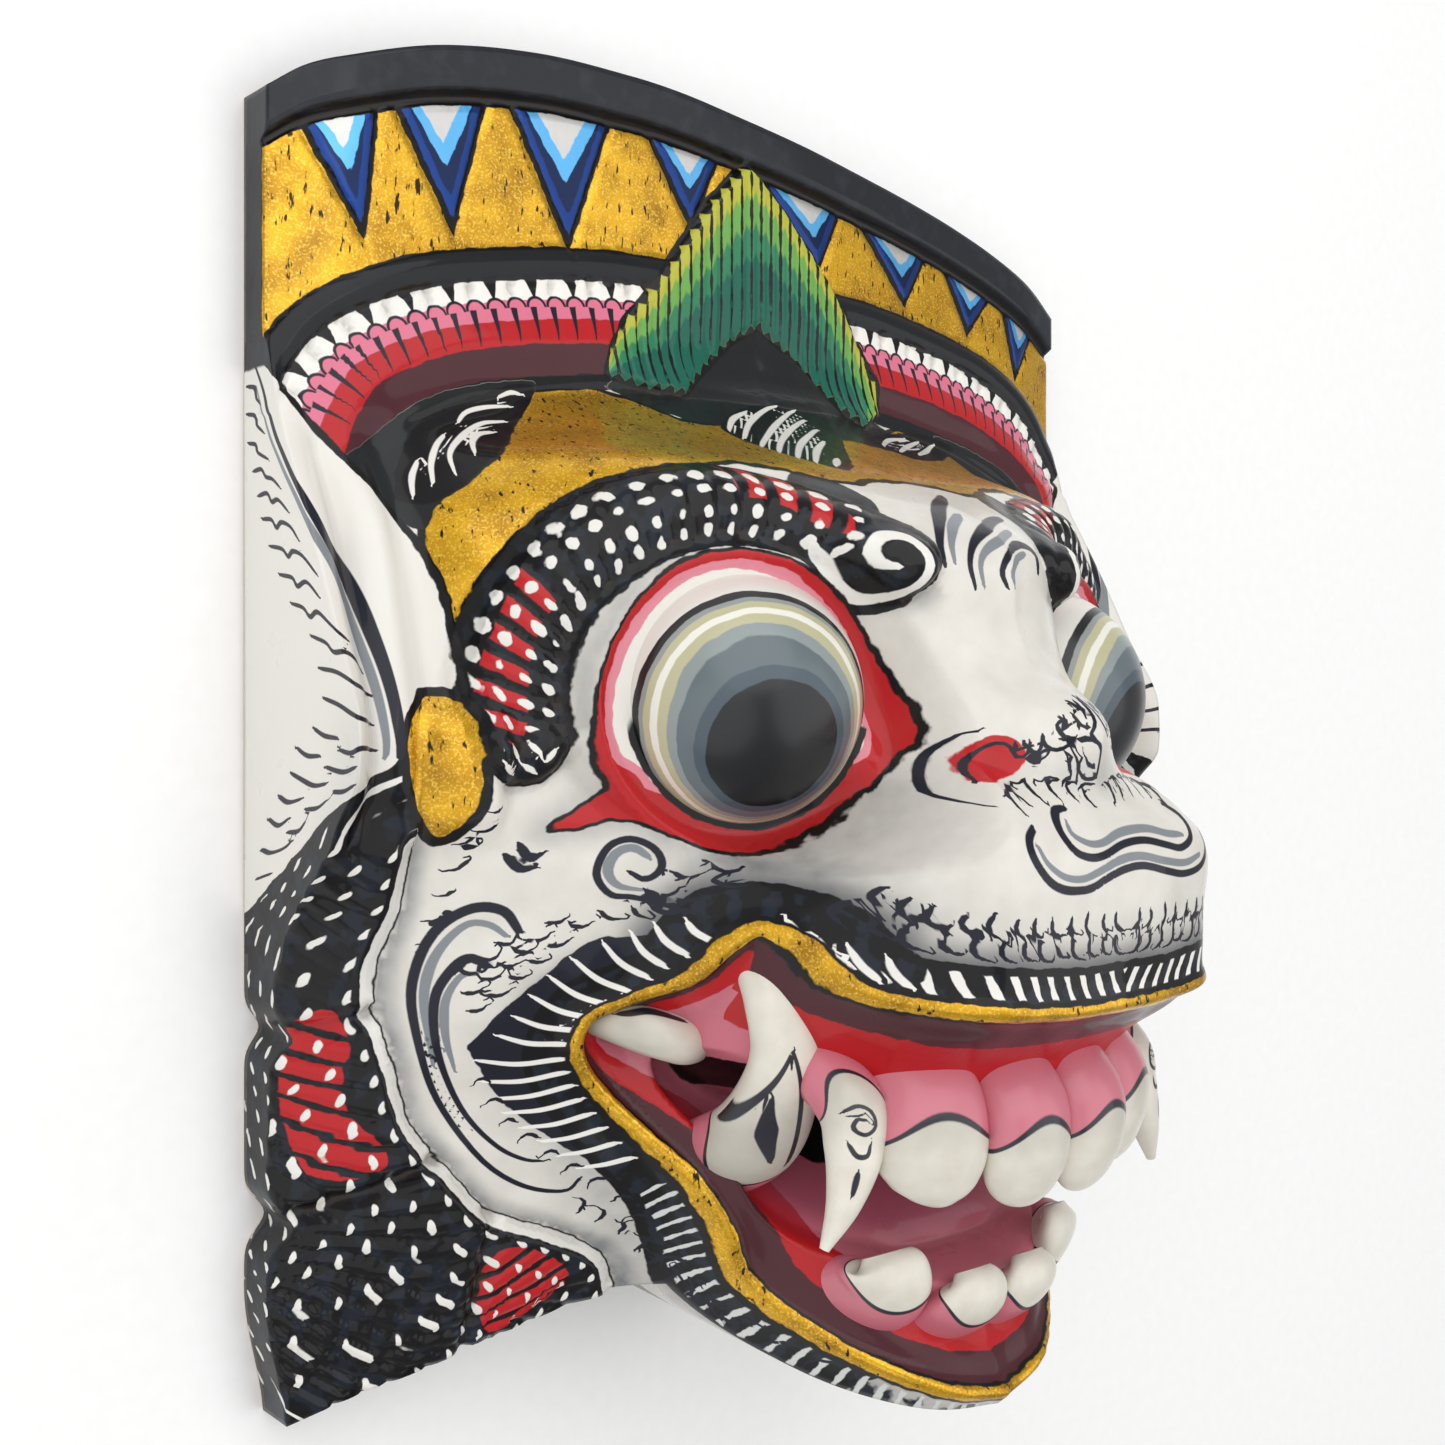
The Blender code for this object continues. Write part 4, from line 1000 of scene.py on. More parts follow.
def add(tree, kind, inputs=(), out=0, **settings):
    """Add one shader node; a socket among its inputs is linked, anything else is set."""
    made = tree.nodes.new("ShaderNode" + kind)
    for name, value in settings.items():
        setattr(made, name, value)
    for key, value in inputs.items() if isinstance(inputs, dict) else enumerate(inputs):
        if isinstance(value, bpy.types.NodeSocket):
            tree.links.new(value, made.inputs[key])
        else:
            made.inputs[key].default_value = value
    return made.outputs[out]


def new_finish(name, values):
    """A material, its node tree and its shader, with the shader's plain values set."""
    made = bpy.data.materials.new(name)
    made.use_nodes = True
    shader = made.node_tree.nodes["Principled BSDF"]
    for key, value in values.items():
        shader.inputs[key].default_value = value
    return made, made.node_tree, shader


def maths(operation, *values):
    return add(tree, "Math", values, operation=operation)


def ramp(*limits):
    """A value moved from one range to another, both given as low and high."""
    return add(tree, "MapRange", limits)


def ease(*limits):
    """As ramp, with soft ends. Without a second range it gives 0 to 1."""
    return add(tree, "MapRange", limits, interpolation_type="SMOOTHSTEP")


def mix(share, first, second):
    return add(tree, "Mix", {0: share, 6: first, 7: second}, out=2, data_type="RGBA")


def lump(size, detail=2.0, stretch=None):
    """Noise from 0 to 1 with patches of a size in millimetres, stretched along the axes where asked."""
    place = add(tree, "Mapping", {"Vector": object_place, "Scale": stretch}) if stretch else object_place
    return add(tree, "TexNoise", {"Vector": place, "Scale": 1 / (size * MM), "Detail": detail})


VARNISH_IOR = 1.5
CHARCOAL, BLACK, INK = "#212329", "#0d0d10", "#1b1b28"
VIVID, NAVY, SKY, PALE = "#173a80", "#14264d", "#5fb0e6", "#cdccc9"
GOLD, GOLD_DARK, PINK, RED, MAROON = "#d9a521", "#8a5c10", "#d8748d", "#b51d22", "#4a2128"
LEAF_GREENS = ("#14604f", "#2f7d57", "#6ba54c", "#b4b43c")
GREY, GUM = "#80858a", "#cb7382"

# %% Painted wood
painted, tree, shader = new_finish(
    "painted_and_varnished_pule_wood",
    {"IOR": VARNISH_IOR, "Specular IOR Level": 0.16, "Coat Weight": 0.28, "Coat Roughness": 0.08},
)
object_place = add(tree, "TexCoord", out="Object")
fields = {}


def field(name, part):
    """One stored distance, in millimetres."""
    if name not in fields:
        found = add(tree, "Attribute", out="Vector", attribute_name=name)
        fields[name] = add(tree, "SeparateXYZ", [found]).node.outputs
    return fields[name][part]


# The three sizes of patch that the coats share.
fine_lump, middle_lump, broad_lump = lump(3.0), lump(4.0), lump(7.0, 3.0)

# A hand-drawn edge wanders by about a quarter of a millimetre.
wander = ramp(fine_lump, 0.3, 0.7, -0.2, 0.2)


def over(value, low=0.0, soft=0.12, drawn=True):
    """1 where a distance is over a limit, with the soft edge of a brushed coat."""
    if drawn:
        value = maths("ADD", value, wander)
    return ease(value, low - soft, low + soft)


def both(*shares):
    """The share of the surface where all shares are 1."""
    result = shares[0]
    for other in shares[1:]:
        result = maths("MULTIPLY", result, other)
    return result


def flip(value):
    return maths("SUBTRACT", 1.0, value)


def within(value, low, high, soft=0.12, drawn=True):
    return both(over(value, low, soft, drawn), flip(over(value, high, soft, drawn)))


def every(value, pitch, shift=0.0):
    """Distance from the nearest of many evenly spaced lines."""
    moved = maths("ADD", value, shift + 400 * pitch)
    return maths("PINGPONG", moved, pitch / 2)


def drawn_lines(name):
    """The share covered by the brush strokes stored under a name."""
    offset = maths("ABSOLUTE", field(name, 0))
    fine = both(flip(over(offset, 1.0, 0.2, False)), flip(over(field(name, 1), 0.72, 0.08, False)))
    return maths("MAXIMUM", fine, over(field(name, 2), 0.0, 0.12, False))


coats = {"colour": mix(broad_lump, linear("#e6e3dc"), linear("#c9c5bc"))}


def lay(colour, share):
    """Lay one coat over all before it."""
    coats["colour"] = mix(share, coats["colour"], linear(colour))


print("ready to paint")

# %% [markdown]
# The gold is laid first, over the crown and the forehead. On it come the crown's triangles, each with a
# dark blue edge, a light blue V and an off-white V, and the incised lines beside them.

# %% Coats of the crown
# Painted shade with the airbrushed grey: the soft grey of the shade field, laid first and broken into
# patches.
lay("#77797c", both(field("side", 1), ramp(middle_lump, 0.25, 0.75, 0.55, 1.0)))
gilt = over(field("garland", 2))
worn = ramp(broad_lump, 0.40, 0.70, 0.0, 0.7)
# Painted highlights: fine spots of bright gold that stand for light glinting on the leaf.
painted_glint = ramp(lump(0.45), 0.50, 0.68, 0.0, 0.6)
speck = over(lump(0.9, 2.0, (1.0, 0.28, 0.6)), 0.655, 0.04, False)


def gild(share):
    """Gold leaf: worn darker in patches, with fine painted glints in a brighter gold, and flecked with its
    dark ground.
    """
    lay(GOLD, share)
    lay(GOLD_DARK, both(share, worn))
    lay("#ffd75e", both(share, painted_glint))
    lay("#2a2010", both(share, speck))


lay(BLACK, over(field("garland", 2), -1.0))
gild(gilt)

garland, around, edge = field("garland", 0), field("garland", 1), field("crown", 0)
below_rim = over(edge, CROWN_BAND)
on_crown = both(below_rim, over(flip(garland), 6.6), flip(over(field("leaf", 2), -1.0)))
triangle = field("crown", 1)
lay(BLACK, both(below_rim, within(garland, -6.3, -5.0)))
lay(BLACK, both(on_crown, within(triangle, -1.1, 0.2)))
lay(VIVID, both(on_crown, over(triangle, 0.0)))
lay(NAVY, both(on_crown, over(triangle, 1.4)))
lay(SKY, both(on_crown, over(triangle, 0.9), over(field("vees", 0))))
lay(PALE, both(on_crown, over(triangle, 1.8), over(field("vees", 1))))
lay(BLACK, both(on_crown, within(edge, 9.4, 10.3)))
lay(CHARCOAL, flip(below_rim))
lay("#31343b", both(flip(below_rim), ramp(middle_lump, 0.5, 0.72, 0.0, 0.55)))
lay("#121418", within(edge, 7.6, 9.9))
print(len(tree.nodes), "nodes after the crown")

# %% [markdown]
# The garland under the triangles: a black cord, white scallops cut by black notches, small arches, then
# pink, red, maroon and black bands, with long tapered strokes drawn across the pink and the red.

# %% Coats of the garland
on_band = both(flip(over(field("leaf", 2))), below_rim)
lay("#15171b", both(on_band, within(garland, -5.6, 20.5)))
lay(MAROON, both(on_band, within(garland, 11.9, 17.6)))
lay(RED, both(on_band, within(garland, 7.3, 11.9)))
lay(PINK, both(on_band, within(garland, 3.4, 7.3)))
lay("#eceae4", both(on_band, within(garland, -0.1, 3.6)))
taper = ramp(garland, 3.2, 11.6, 0.85, 0.1)
lean = maths("ADD", maths("MULTIPLY", garland, 0.16), around)
stroke = maths("SUBTRACT", taper, every(lean, SCALLOP_PITCH / 2))
lay(INK, both(on_band, over(stroke, 0.0, 0.12, False), within(garland, 4.6, 11.4)))
arch = add(tree, "CombineXYZ", [every(around, SCALLOP_PITCH / 2), maths("SUBTRACT", garland, 5.0), 0.0])
arch = add(tree, "VectorMath", [arch], out=1, operation="LENGTH")
lay(PINK, both(on_band, within(garland, 2.4, 5.0), flip(over(arch, 1.8, 0.1, False))))
lay(INK, both(on_band, within(garland, 2.4, 5.0), within(arch, 1.6, 2.15, 0.12, False)))
cut = ramp(garland, -0.6, 3.0, 1.5, 0.25)
cut = maths("SUBTRACT", cut, every(around, SCALLOP_PITCH))
lay(BLACK, both(on_band, over(cut, 0.0, 0.12, False), within(garland, -1.0, 3.2)))
print(len(tree.nodes), "nodes after the garland")

# %% [markdown]
# The leaf over the brow runs from yellow-green at its edge to dark teal under its point, veined in black.
# Black oval medallions with white stripes lie under it.

# %% Coats of the leaf
lay("#1c1f20", over(field("leaf", 2)))
slant = maths("ADD", field("crown", 2), 1.0)
slant = maths("MULTIPLY", maths("ABSOLUTE", slant), 1.12)
vein = every(slant, VEIN_PITCH)
band = ramp(vein, 0.0, VEIN_PITCH / 2, -0.03, 0.03)
band = maths("ADD", field("leaf", 1), band)
# Each vein ends in a small tooth at the leaf's edge.
tooth_edge = ramp(vein, 0.0, VEIN_PITCH / 2, -0.7, 0.5)
tooth_edge = maths("ADD", field("leaf", 0), tooth_edge)
on_leaf = over(tooth_edge, 0.3)
lay(BLACK, over(field("leaf", 0), -0.9))
for limit, colour in zip((-1.0, 0.15, 0.32, 0.5), reversed(LEAF_GREENS)):
    lay(colour, both(on_leaf, over(band, limit, 0.02, False)))
vein_line = over(maths("SUBTRACT", 0.33, vein), 0.0, 0.1)
lay(BLACK, both(on_leaf, vein_line, flip(over(field("leaf", 1), 0.9))))
medal = field("spots", 1)
lay(BLACK, over(medal))
print(len(tree.nodes), "nodes after the leaf")

# %% [markdown]
# The brow is black with a row of white touches on the outer side of every rib, two more rows within, and
# red over two stretches. A white band then divides it from the eye.

# %% Coats of the brow
lay(BLACK, over(field("brow", 2)))
on_brow = over(field("brow", 2), 0.3)
lay("#161c25", both(on_brow, over(middle_lump, 0.56, 0.05, False)))
across, along = field("brow", 0), field("spots", 2)
rib_back = every(field("brow", 1), BROW_RIB, BROW_RIB / 2)
lay(RED, both(over(field("spots", 0)), over(across, -1.4), flip(over(rib_back, 1.25, 0.15)), on_brow))
for middle, tall, wide in ((5.0, 0.75, 1.1), (2.4, 0.7, 0.95), (-1.2, 1.05, 0.75), (-4.4, 1.15, 0.75)):
    reach = maths("SUBTRACT", across, middle)
    reach = maths("DIVIDE", reach, tall)
    width = maths("DIVIDE", rib_back, wide)
    touch = add(tree, "VectorMath", [add(tree, "CombineXYZ", [reach, width, 0.0])], out=1, operation="LENGTH")
    touch = maths("ADD", touch, ramp(fine_lump, 0.3, 0.7, -0.22, 0.3))
    lay("#dfddd7", both(flip(over(touch, 1.0, 0.15)), within(along, 1.5, 76.0), on_brow))
lay("#e4e2dc", drawn_lines("curl_white"))
print(len(tree.nodes), "nodes after the brow")

# %% [markdown]
# Each eye has a thin black outline that ends in a point at the outer corner, then a red ring, a pink one
# and the white, and a black line round the ball.

# %% Coats of the eye socket
eye = field("eye", 0)
lay(BLACK, within(eye, -0.55, 0.2))
lay(RED, over(eye, 0.05))
lay("#d98593", over(field("socket", 1), 1.5))
lay("#e3e0d8", over(field("socket", 1), 3.1))
# The black ring round the ball, which ends in white where the ball's own last ring does.
ring = both(flip(over(field("socket", 0), 1.1)), flip(over(field("socket", 2), LAST_RING, 0.6, False)))
lay(BLACK, both(over(eye, 1.0), ring))
print(len(tree.nodes), "nodes after the eye socket")

# %% [markdown]
# The beard is black. A white line follows the cheek, and every rib carries a white touch in each of
# many columns beside it, with red laid over part of two locks.

# %% Coats of the beard
beard, rib = field("beard", 0), field("beard", 1)
lay(BLACK, over(beard))
lay("#171d27", both(over(beard, 3.0), over(middle_lump, 0.55, 0.05, False)))
rib_middle = every(rib, BEARD_RIB, BEARD_RIB / 2)
lay(RED, both(over(field("beard", 2)), flip(over(rib_middle, 1.7, 0.15))))
# Each touch lies square to its rib: `up` runs across the rib and `out` along it.
BEARD_COLUMN = 4.3
up = maths("WRAP", maths("SUBTRACT", rib, BEARD_RIB / 2), BEARD_RIB / 2, -BEARD_RIB / 2)
out = maths("WRAP", maths("ADD", beard, 0.6), BEARD_COLUMN / 2, -BEARD_COLUMN / 2)
out = maths("SUBTRACT", out, maths("MULTIPLY", up, field("touch", 0)))
reach = maths("DIVIDE", out, maths("DIVIDE", 0.47, field("touch", 1)))
width = maths("DIVIDE", up, maths("MULTIPLY", 1.1, field("touch", 1)))
touch = add(tree, "VectorMath", [add(tree, "CombineXYZ", [reach, width, 0.0])], out=1, operation="LENGTH")
lay("#e4e2dc", both(flip(over(touch, 1.0, 0.15)), over(beard, 3.4)))
lay("#dcdad4", within(beard, 0.3, 2.3))
print(len(tree.nodes), "nodes after the beard")

# %% [markdown]
# The ear is white over its ridge and down the side of the block, and the side above it is plain charcoal.
# The ear drop is gilded, with a black edge, and the inside of the nostril is red.

# %% Coats of the ear and the side
ear = field("side", 0)
lay(BLACK, both(within(ear, -1.3, 0.2), over(field("crown", 0), 9.6)))
lay("#e2dfd8", over(ear))
# Painted shade: the ear's white turns grey low on the side of the block.
lay("#b9b8b4", both(over(ear), field("side", 1)))
lay(CHARCOAL, over(field("side", 2), 0.0, 0.3))
drop = field("eye", 1)
lay(BLACK, over(drop, -1.0))
gild(over(drop, 0.6))
lay(RED, over(field("eye", 2)))
print(len(tree.nodes), "nodes after the ear and the side")

# %% [markdown]
# Around the mouth: black corners with fine white hairs, a gilded rim, then maroon, red and pink inside.
# `lip_run` is the length along the lip from the middle of the upper lip.

# %% Coats of the mouth
lip, lip_run = field("lip", 0), field("lip", 1)
corner = field("corner", 0)
lay("#3c4048", both(ease(lip, -12.5, -6.5, 0.0, 0.8), field("corner", 2)))
lay(INK, over(corner))
lay(BLACK, both(within(lip, -7.4, 0.0), flip(over(lip_run, 150.0))))
lay("#1b212b", both(within(lip, -6.2, -2.0), over(middle_lump, 0.54, 0.05, False)))
slant = maths("ADD", maths("MULTIPLY", lip, 0.55), lip_run)
hair = maths("SUBTRACT", 0.62, every(slant, 3.6))
lay("#e8e6e0", both(over(hair, 0.0, 0.1), within(lip, -6.0, -2.3), flip(over(lip_run, 35.0))))
low_hair = maths("SUBTRACT", 0.36, every(slant, 2.6))
lay("#d0d2d0", both(over(low_hair, 0.0, 0.1), within(lip, -5.4, -2.0), over(lip_run, 108.0)))
lay("#e8e6e0", drawn_lines("white_ink"))
lay(RED, over(lip, 0.0))
low = over(lip_run, 95.0, 14.0, False)
maroon_to = ramp(lip_run, 28.0, 50.0, 6.4, 2.8)
red_to = ramp(lip_run, 28.0, 50.0, 13.4, 5.2)
maroon_to = add(tree, "Mix", {0: low, 2: maroon_to, 3: 6.2})
red_to = add(tree, "Mix", {0: low, 2: red_to, 3: 12.4})
lay(MAROON, both(over(lip, 0.0), flip(over(maths("SUBTRACT", lip, maroon_to)))))
lay(GUM, both(over(lip, 0.5), over(maths("SUBTRACT", lip, red_to))))
# Painted shade: the pink darkens further into the pit of the mouth.
deep = ease(field("lip", 2), 1.0, 9.0, 0.0, 0.75)
lay("#8c4054", both(over(lip, 0.5), deep))
lay(BLACK, over(field("corner", 1), 0.0, 0.2))
lay(BLACK, within(lip, -1.7, 1.7))
gild(within(lip, -1.2, 1.2))
print(len(tree.nodes), "nodes after the mouth")

# %% [markdown]
# Last come the brush drawing in grey and in black, painted shade and grime in the hollows, and bare wood
# behind.

# %% Brush drawing and varnish
lay(GREY, drawn_lines("grey_ink"))
lay(INK, drawn_lines("ink"))
pointiness = add(tree, "NewGeometry", out="Pointiness")
# Painted shade and grime: the colour darkens where the surface is hollow, found by its pointiness.
lay("#3a3026", ramp(pointiness, 0.485, 0.44, 0.0, 0.35))
tree.links.new(coats["colour"], shader.inputs["Base Color"])
shine = maths("MAXIMUM", gilt, over(drop, 0.6))
shine = maths("MAXIMUM", shine, within(lip, -1.3, 1.3))
for cover in (over(field("leaf", 2)), over(field("leaf", 0)), over(medal), over(ear, -1.0)):
    shine = both(shine, flip(cover))
tree.links.new(both(shine, 0.75), shader.inputs["Metallic"])
tree.links.new(ramp(broad_lump, 0.3, 0.7, 0.26, 0.4), shader.inputs["Roughness"])
# Brush marks and gouge chatter, about 1.5 mm apart and a tenth of a millimetre deep.
brush = lump(1.5, 2.0, (1.0, 0.4, 0.7))
bump = add(tree, "Bump", {"Strength": 0.4, "Distance": 0.12 * MM, "Height": brush})
tree.links.new(bump, shader.inputs["Normal"])
print("painted wood has", len(tree.nodes), "nodes")

# %% Bare wood behind
bare, tree, shader = new_finish("bare_pule_wood", {"Roughness": 0.7})
object_place = add(tree, "TexCoord", out="Object")
grain = lump(1.6, 6.0, (1.0, 0.06, 0.3))
tree.links.new(mix(grain, linear("#c9a878"), linear("#a5814f")), shader.inputs["Base Color"])
gouge = add(tree, "TexVoronoi", {"Vector": object_place, "Scale": 1 / (11 * MM)}, feature="SMOOTH_F1")
bump = add(tree, "Bump", {"Strength": 0.5, "Distance": 0.8 * MM, "Height": gouge})
bump = add(tree, "Bump", {"Strength": 0.4, "Distance": 0.1 * MM, "Height": grain, "Normal": bump})
tree.links.new(bump, shader.inputs["Normal"])

carved.data.materials.append(painted)
carved.data.materials.append(bare)
behind = 0
for polygon in carved.data.polygons:
    middle = polygon.center / MM
    reach = sum(abs(v / (HOLLOW_HALF + 1)) ** HOLLOW_ROUND for v in (middle.x, middle.y - HOLLOW_Y))
    in_hollow = reach < 1.0 and polygon.normal.z < -0.02 and under[polygon.vertices[0]] > 5
    if polygon.normal.z < -0.9 or in_hollow:
        polygon.material_index = 1
        behind += 1
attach(carved, "root")
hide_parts("mask")
print(behind, "faces of bare wood")

# %% [markdown]
# ## Eyeballs
# Each eyeball is a ball cut from the same block and lacquered. Its rings are painted round the pupil,
# which looks down and outwards, so the ball keeps its angle from the pupil and the material draws rings.

# %% Eyeballs
RINGS = [
    (0, "#101216"), (31, "#44525c"), (36.1, "#5f6b70"), (43.2, "#8b9494"), (47.2, "#b9b592"),
    (51.6, "#e6e4da"),
    (55.3, "#b9b592"), (59.3, "#8e9492"), (62.2, BLACK), (LAST_RING, "#dddbd3"),
]
lacquer, tree, shader = new_finish(
    "lacquered_eye", {"Roughness": 0.32, "IOR": VARNISH_IOR, "Coat Weight": 0.1, "Coat Roughness": 0.1}
)
turn = add(tree, "Attribute", out="Fac", attribute_name="turn")
object_place = add(tree, "TexCoord", out="Object")
turn = maths("ADD", turn, ramp(lump(5), 0.3, 0.7, -0.5, 0.5))
tone = linear(RINGS[0][1])
for limit, code in RINGS[1:]:
    tone = mix(ease(turn, limit - 0.35, limit + 0.35), tone, linear(code))
tree.links.new(tone, shader.inputs["Base Color"])
for side, name in ((-1, "left_eyeball"), (1, "right_eyeball")):
    centre = Vector((side * EYE[0], EYE[1] + SHIFT_Y, EYE[2])) * MM
    bpy.ops.object.select_all(action="DESELECT")
    radius = (EYE_RADIUS + 0.05) * MM
    bpy.ops.mesh.primitive_uv_sphere_add(segments=96, ring_count=64, radius=radius, location=centre)
    ball = bpy.context.object
    ball.name = name
    bpy.ops.object.transform_apply(location=True, rotation=True, scale=True)
    out = np.array([vertex.co for vertex in ball.data.vertices]) / MM
    angles = ring_angle(-side * out[:, 0], out[:, 1] - SHIFT_Y, out[:, 2])
    ball.data.attributes.new("turn", "FLOAT", "POINT").data.foreach_set("value", angles)
    ball.data.materials.append(lacquer)
    bpy.ops.object.shade_smooth()
    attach(ball, "root")
    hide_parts("mask")
print("two eyeballs,", round(2 * EYE_RADIUS, 1), "mm across")

# %% [markdown]
# ## Teeth
# The teeth are carved round and full. Each is drawn out along a path through the solid's own tooth, with
# more sides and a narrowing tip, and painted ivory with a black line at its root.

# %% Teeth
TEETH = {
    "tusk": (
        [(-38, -78, 47), (-38.5, -71, 60), (-39, -62, 67), (-39.8, -54, 69.5), (-41.5, -46, 68),
         (-43, -39.5, 63)],
        [8.2, 8.2, 6.8, 5.8, 4.8, 2.6],
        [5.0, 5.2, 5.0, 4.8, 4.0, 2.4],
        -0.5,
    ),
    "fang": (
        [(-34.5, -55, 66), (-35, -62, 79), (-36, -69, 81.5), (-38.5, -76.5, 82), (-42, -84, 81)],
        [5.2, 5.6, 4.9, 3.1, 0.8],
        [5.0, 5.0, 4.2, 2.8, 0.9],
        -0.5,
    ),
    "upper_side": (
        [(-24, -56, 78), (-24, -63, 85.5), (-24, -69, 87), (-24, -74, 86.5), (-24, -77, 85.5),
         (-24, -78.5, 84.5)],
        [9.0, 9.6, 9.6, 8.6, 6.2, 3.0],
        [5.5, 5.6, 5.2, 4.2, 3.0, 1.4],
        -0.5,
    ),
    "upper_front": (
        [(-7.9, -56, 84), (-7.9, -64, 92), (-7.9, -71, 93), (-7.9, -76, 92), (-7.9, -79, 91),
         (-7.9, -80.5, 90)],
        [8.0, 8.4, 8.4, 7.6, 5.6, 2.8],
        [5.5, 5.6, 5.2, 4.2, 3.0, 1.4],
        -0.12,
    ),
    "lower_side": (
        [(-21.5, -104, 58), (-21.5, -100, 66), (-21.5, -96.5, 73), (-21.5, -93, 75.5), (-21.5, -90.3, 74.5)],
        [8.2, 8.8, 8.6, 7.0, 4.4],
        [4.5, 4.6, 4.0, 3.0, 1.8],
        -0.45,
    ),
    "lower_front": (
        [(-7, -109, 62), (-7, -104.5, 72), (-7, -100.8, 79), (-7, -97, 81.5), (-7, -94.5, 80.5)],
        [7.2, 7.6, 7.5, 6.2, 3.8],
        [4.5, 4.6, 4.0, 3.0, 1.8],
        -0.1,
    ),
    "cheek_tooth": (
        [(-58, -51, 40), (-53.5, -52.8, 49.5), (-47.5, -55, 51.5), (-42, -57, 49), (-39, -58, 46)],
        [3.0, 3.9, 4.0, 3.0, 1.4],
        [2.8, 3.6, 3.6, 2.8, 1.4],
        -0.3,
    ),
}
ivory, tree, shader = new_finish(
    "ivory_painted_tooth", {"Roughness": 0.34, "IOR": VARNISH_IOR, "Coat Weight": 0.2, "Coat Roughness": 0.1}
)
object_place = add(tree, "TexCoord", out="Object")
fields.clear()
gum, reach = field("root", 0), field("root", 1)
tone = mix(lump(5, 4.0), linear("#eae6db"), linear("#cbc5b6"))
shadow = ease(reach, 0.55, 0.2, 0.0, 0.45)
coats["colour"] = mix(shadow, tone, linear("#8f8a80"))
lay(INK, drawn_lines("drawn"))
lay(GUM, flip(over(gum, 0.0, 0.1, False)))
lay(INK, within(gum, -0.35, 0.35, 0.12, False))
tree.links.new(coats["colour"], shader.inputs["Base Color"])
STATIONS, SIDES = 64, 56
# Where along its path each tooth leaves the gum, and the lines drawn on some of them.
GUM_AT = {
    "tusk": 0.08, "fang": 0.20, "upper_side": 0.27, "upper_front": 0.27,
    "lower_side": 0.5, "lower_front": 0.5, "cheek_tooth": -1.0,
}
TOOTH_STROKES = {
    "tusk": [
        ([(-42.0, -54.0), (-43.6, -59.0), (-46.4, -67.5)], 0.3, 0.45, 0.45),
        ([(-42.0, -54.0), (-38.6, -64.0), (-35.5, -75.0)], 0.3, 0.45, 0.5),
        ([(-43.4, -62.0), (-42.8, -66.0), (-41.4, -70.0), (-39.0, -74.0)], 0.4, 1.5, 0.6),
    ],
    "fang": [
        ([(-39.4, -62.4), (-37.6, -61.6), (-35.8, -62.6), (-35.4, -64.8), (-37.2, -66.0), (-38.8, -65.0),
          (-38.2, -63.6), (-37.0, -63.8)], 0.28, 0.34, 0.28),
        ([(-39.4, -67.4), (-38.6, -69.2), (-37.0, -69.2), (-36.4, -67.6)], 0.3, 0.42, 0.3),
        ([(-38.6, -71.8), (-39.4, -75.2)], 0.45, 0.5, 0.35),
    ],
    "cheek_tooth": [([(-57.5, -50.0), (-53.5, -49.5), (-48.0, -51.5)], 0.4, 0.5, 0.3)],
}


def tooth(name, path, widths, depths, lean, side):
    """A tooth drawn out along a path, with its half widths, half depths and lean outwards."""
    knots = np.linspace(0, 1, len(path))
    at = np.linspace(0, 1, STATIONS)
    line = np.array([[v for v in blend(knots, [q[k] for q in path], at)] for k in range(3)]).T * [-side, 1, 1]
    wide, deep = blend(knots, widths, at), blend(knots, depths, at)
    points, faces = [], []
    for i, place in enumerate(line):
        ahead = Vector(line[min(i + 1, STATIONS - 1)] - line[max(i - 1, 0)]).normalized()
        front = Vector((-side * lean, 0, 1)).normalized()
        out = (front - ahead * ahead.dot(front)).normalized()
        across = ahead.cross(out)
        for k in range(SIDES):
            turn = 2 * math.pi * k / SIDES
            sideways = across * (wide[i] * math.cos(turn))
            points.append(tuple(Vector(place) + sideways + out * (deep[i] * math.sin(turn))))
    for i in range(STATIONS - 1):
        for k in range(SIDES):
            a, b = i * SIDES + k, i * SIDES + (k + 1) % SIDES
            faces.append((a, b, b + SIDES, a + SIDES))
    faces.append(tuple(range(SIDES)))
    faces.append(tuple(range((STATIONS - 1) * SIDES, STATIONS * SIDES)))
    made = new_piece(name, points, faces)
    select_only(made)
    # The gum reaches further down between two teeth than over the front of one.
    round_it = np.tile(2 * np.pi * np.arange(SIDES) / SIDES, STATIONS)
    length = np.linalg.norm(np.diff(line, axis=0), axis=1).sum()
    root = np.zeros((len(points), 3))
    kind = name.rsplit("_", 1)[0]
    root[:, 0] = (np.repeat(at, SIDES) - GUM_AT[kind] - 0.12 * np.cos(round_it) ** 2) * length
    root[:, 1] = np.repeat(at, SIDES)
    store(made, "root", root)
    x, y, _ = np.array(points).T
    drawn = np.stack(strokes(TOOTH_STROKES.get(kind, []), -np.abs(x), y), axis=-1)
    # Nothing is drawn on a tooth's inner side.
    drawn[np.sin(round_it) < 0.05] = (4, 9, -9)
    store(made, "drawn", drawn)
    made.data.materials.append(ivory)
    bpy.ops.object.shade_smooth_by_angle(angle=math.radians(50))
    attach(made, "root")
    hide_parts("mask")
    return made


for name, (path, widths, depths, lean) in TEETH.items():
    for side, half in ((-1, "right"), (1, "left")):
        tooth(f"{name}_{half}", path, widths, depths, lean, side)
print(2 * len(TEETH), "teeth")

# %% [markdown]
# ## Floor, light and camera
# The mask lies on a plain pale floor under large soft lights, and the camera looks at it from the
# photograph's side.

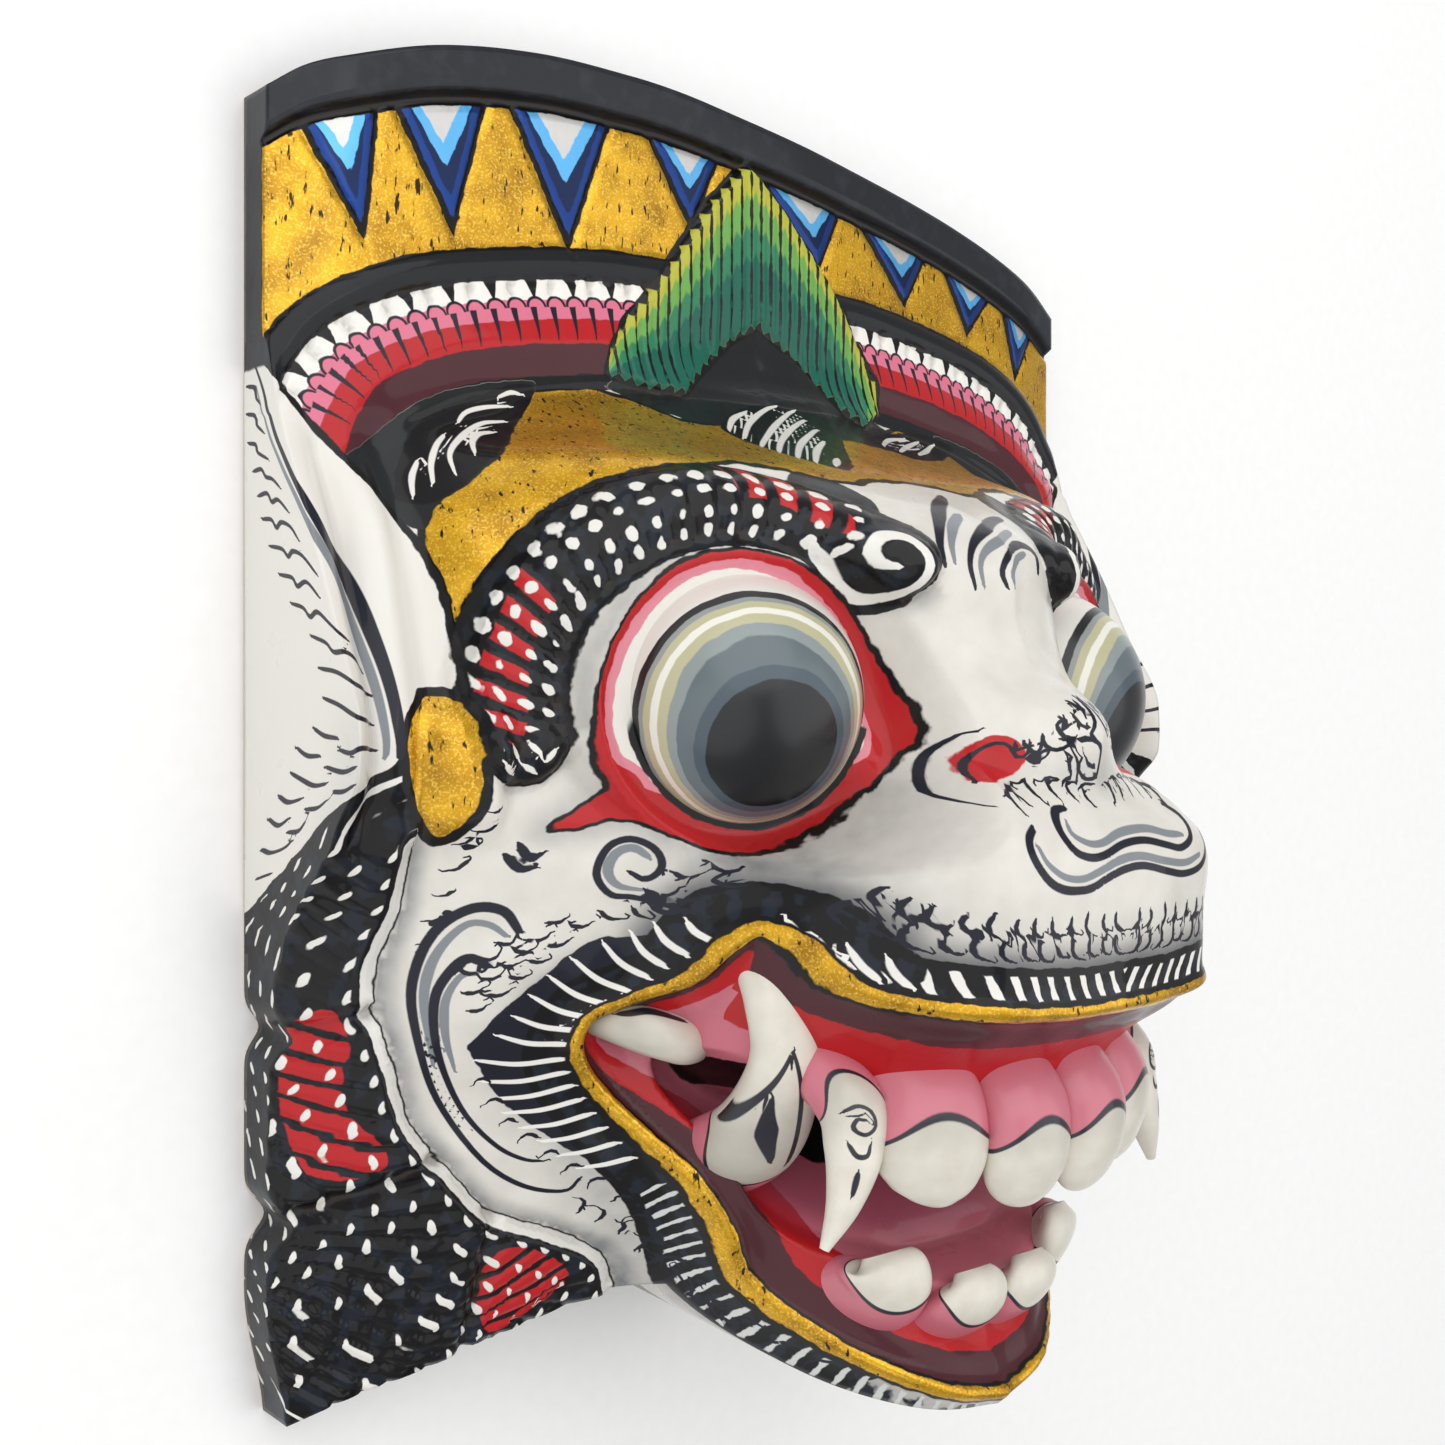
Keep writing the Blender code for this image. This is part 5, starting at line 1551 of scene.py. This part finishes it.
# %% Floor
bpy.ops.object.select_all(action="DESELECT")
bpy.ops.mesh.primitive_plane_add(size=6.0, location=(0, 0, -0.0005))
floor = bpy.context.object
floor.name = "floor"
paper, tree, shader = new_finish("pale_paper", {"Roughness": 0.9})
object_place = add(tree, "TexCoord", out="Object")
fibre = add(tree, "TexNoise", {"Vector": object_place, "Scale": 300.0, "Detail": 3.0})
tree.links.new(mix(fibre, linear("#fafafa"), linear("#f4f4f3")), shader.inputs["Base Color"])
floor.data.materials.append(paper)

# %% Light
world = bpy.data.worlds.new("studio")
bpy.context.scene.world = world
world.use_nodes = True
sky = world.node_tree.nodes["Background"]
sky.inputs["Color"].default_value = (1, 1, 1, 1)
sky.inputs["Strength"].default_value = 0.40
bpy.context.scene.view_settings.view_transform = "Standard"
LIGHT_TARGET = (0, 0, 0.04)


def soft_light(name, place, size, power):
    """A round soft light that looks at the middle of the mask. Metres and watts."""
    lamp = bpy.data.lights.new(name, "AREA")
    lamp.shape, lamp.size, lamp.energy = "DISK", size, power
    made = bpy.data.objects.new(name, lamp)
    bpy.context.scene.collection.objects.link(made)
    made.location = place
    made.rotation_euler = (Vector(LIGHT_TARGET) - Vector(place)).to_track_quat("-Z", "Y").to_euler()


soft_light("key", (-0.35, 0.70, 0.80), 1.5, 8.2)
soft_light("fill", (-1.0, -0.35, 0.7), 1.6, 5.0)
soft_light("top", (0.5, -0.1, 1.2), 1.6, 6.6)
print("world and", len(bpy.data.lights), "soft lights")

# %% Camera
camera = bpy.data.cameras.new("photograph")
camera.lens, camera.sensor_width, camera.shift_y, camera.clip_start = 43.32, 36.0, -0.0225, 0.01
CAMERA_PLACE = (-228.8, 3.5 + SHIFT_Y, 278.9)
seat = bpy.data.objects.new("photograph", camera)
bpy.context.scene.collection.objects.link(seat)
ahead = Vector((0.6428, 0.0, -0.766)).normalized()
right = ahead.cross(Vector((0, 1, 0)))
turned = Matrix((right, (0, 1, 0), -ahead)).transposed()
seat.matrix_world = Matrix.Translation(Vector(CAMERA_PLACE) * MM) @ turned.to_4x4()
bpy.context.scene.camera = seat
print("camera", [round(v, 3) for v in seat.location])
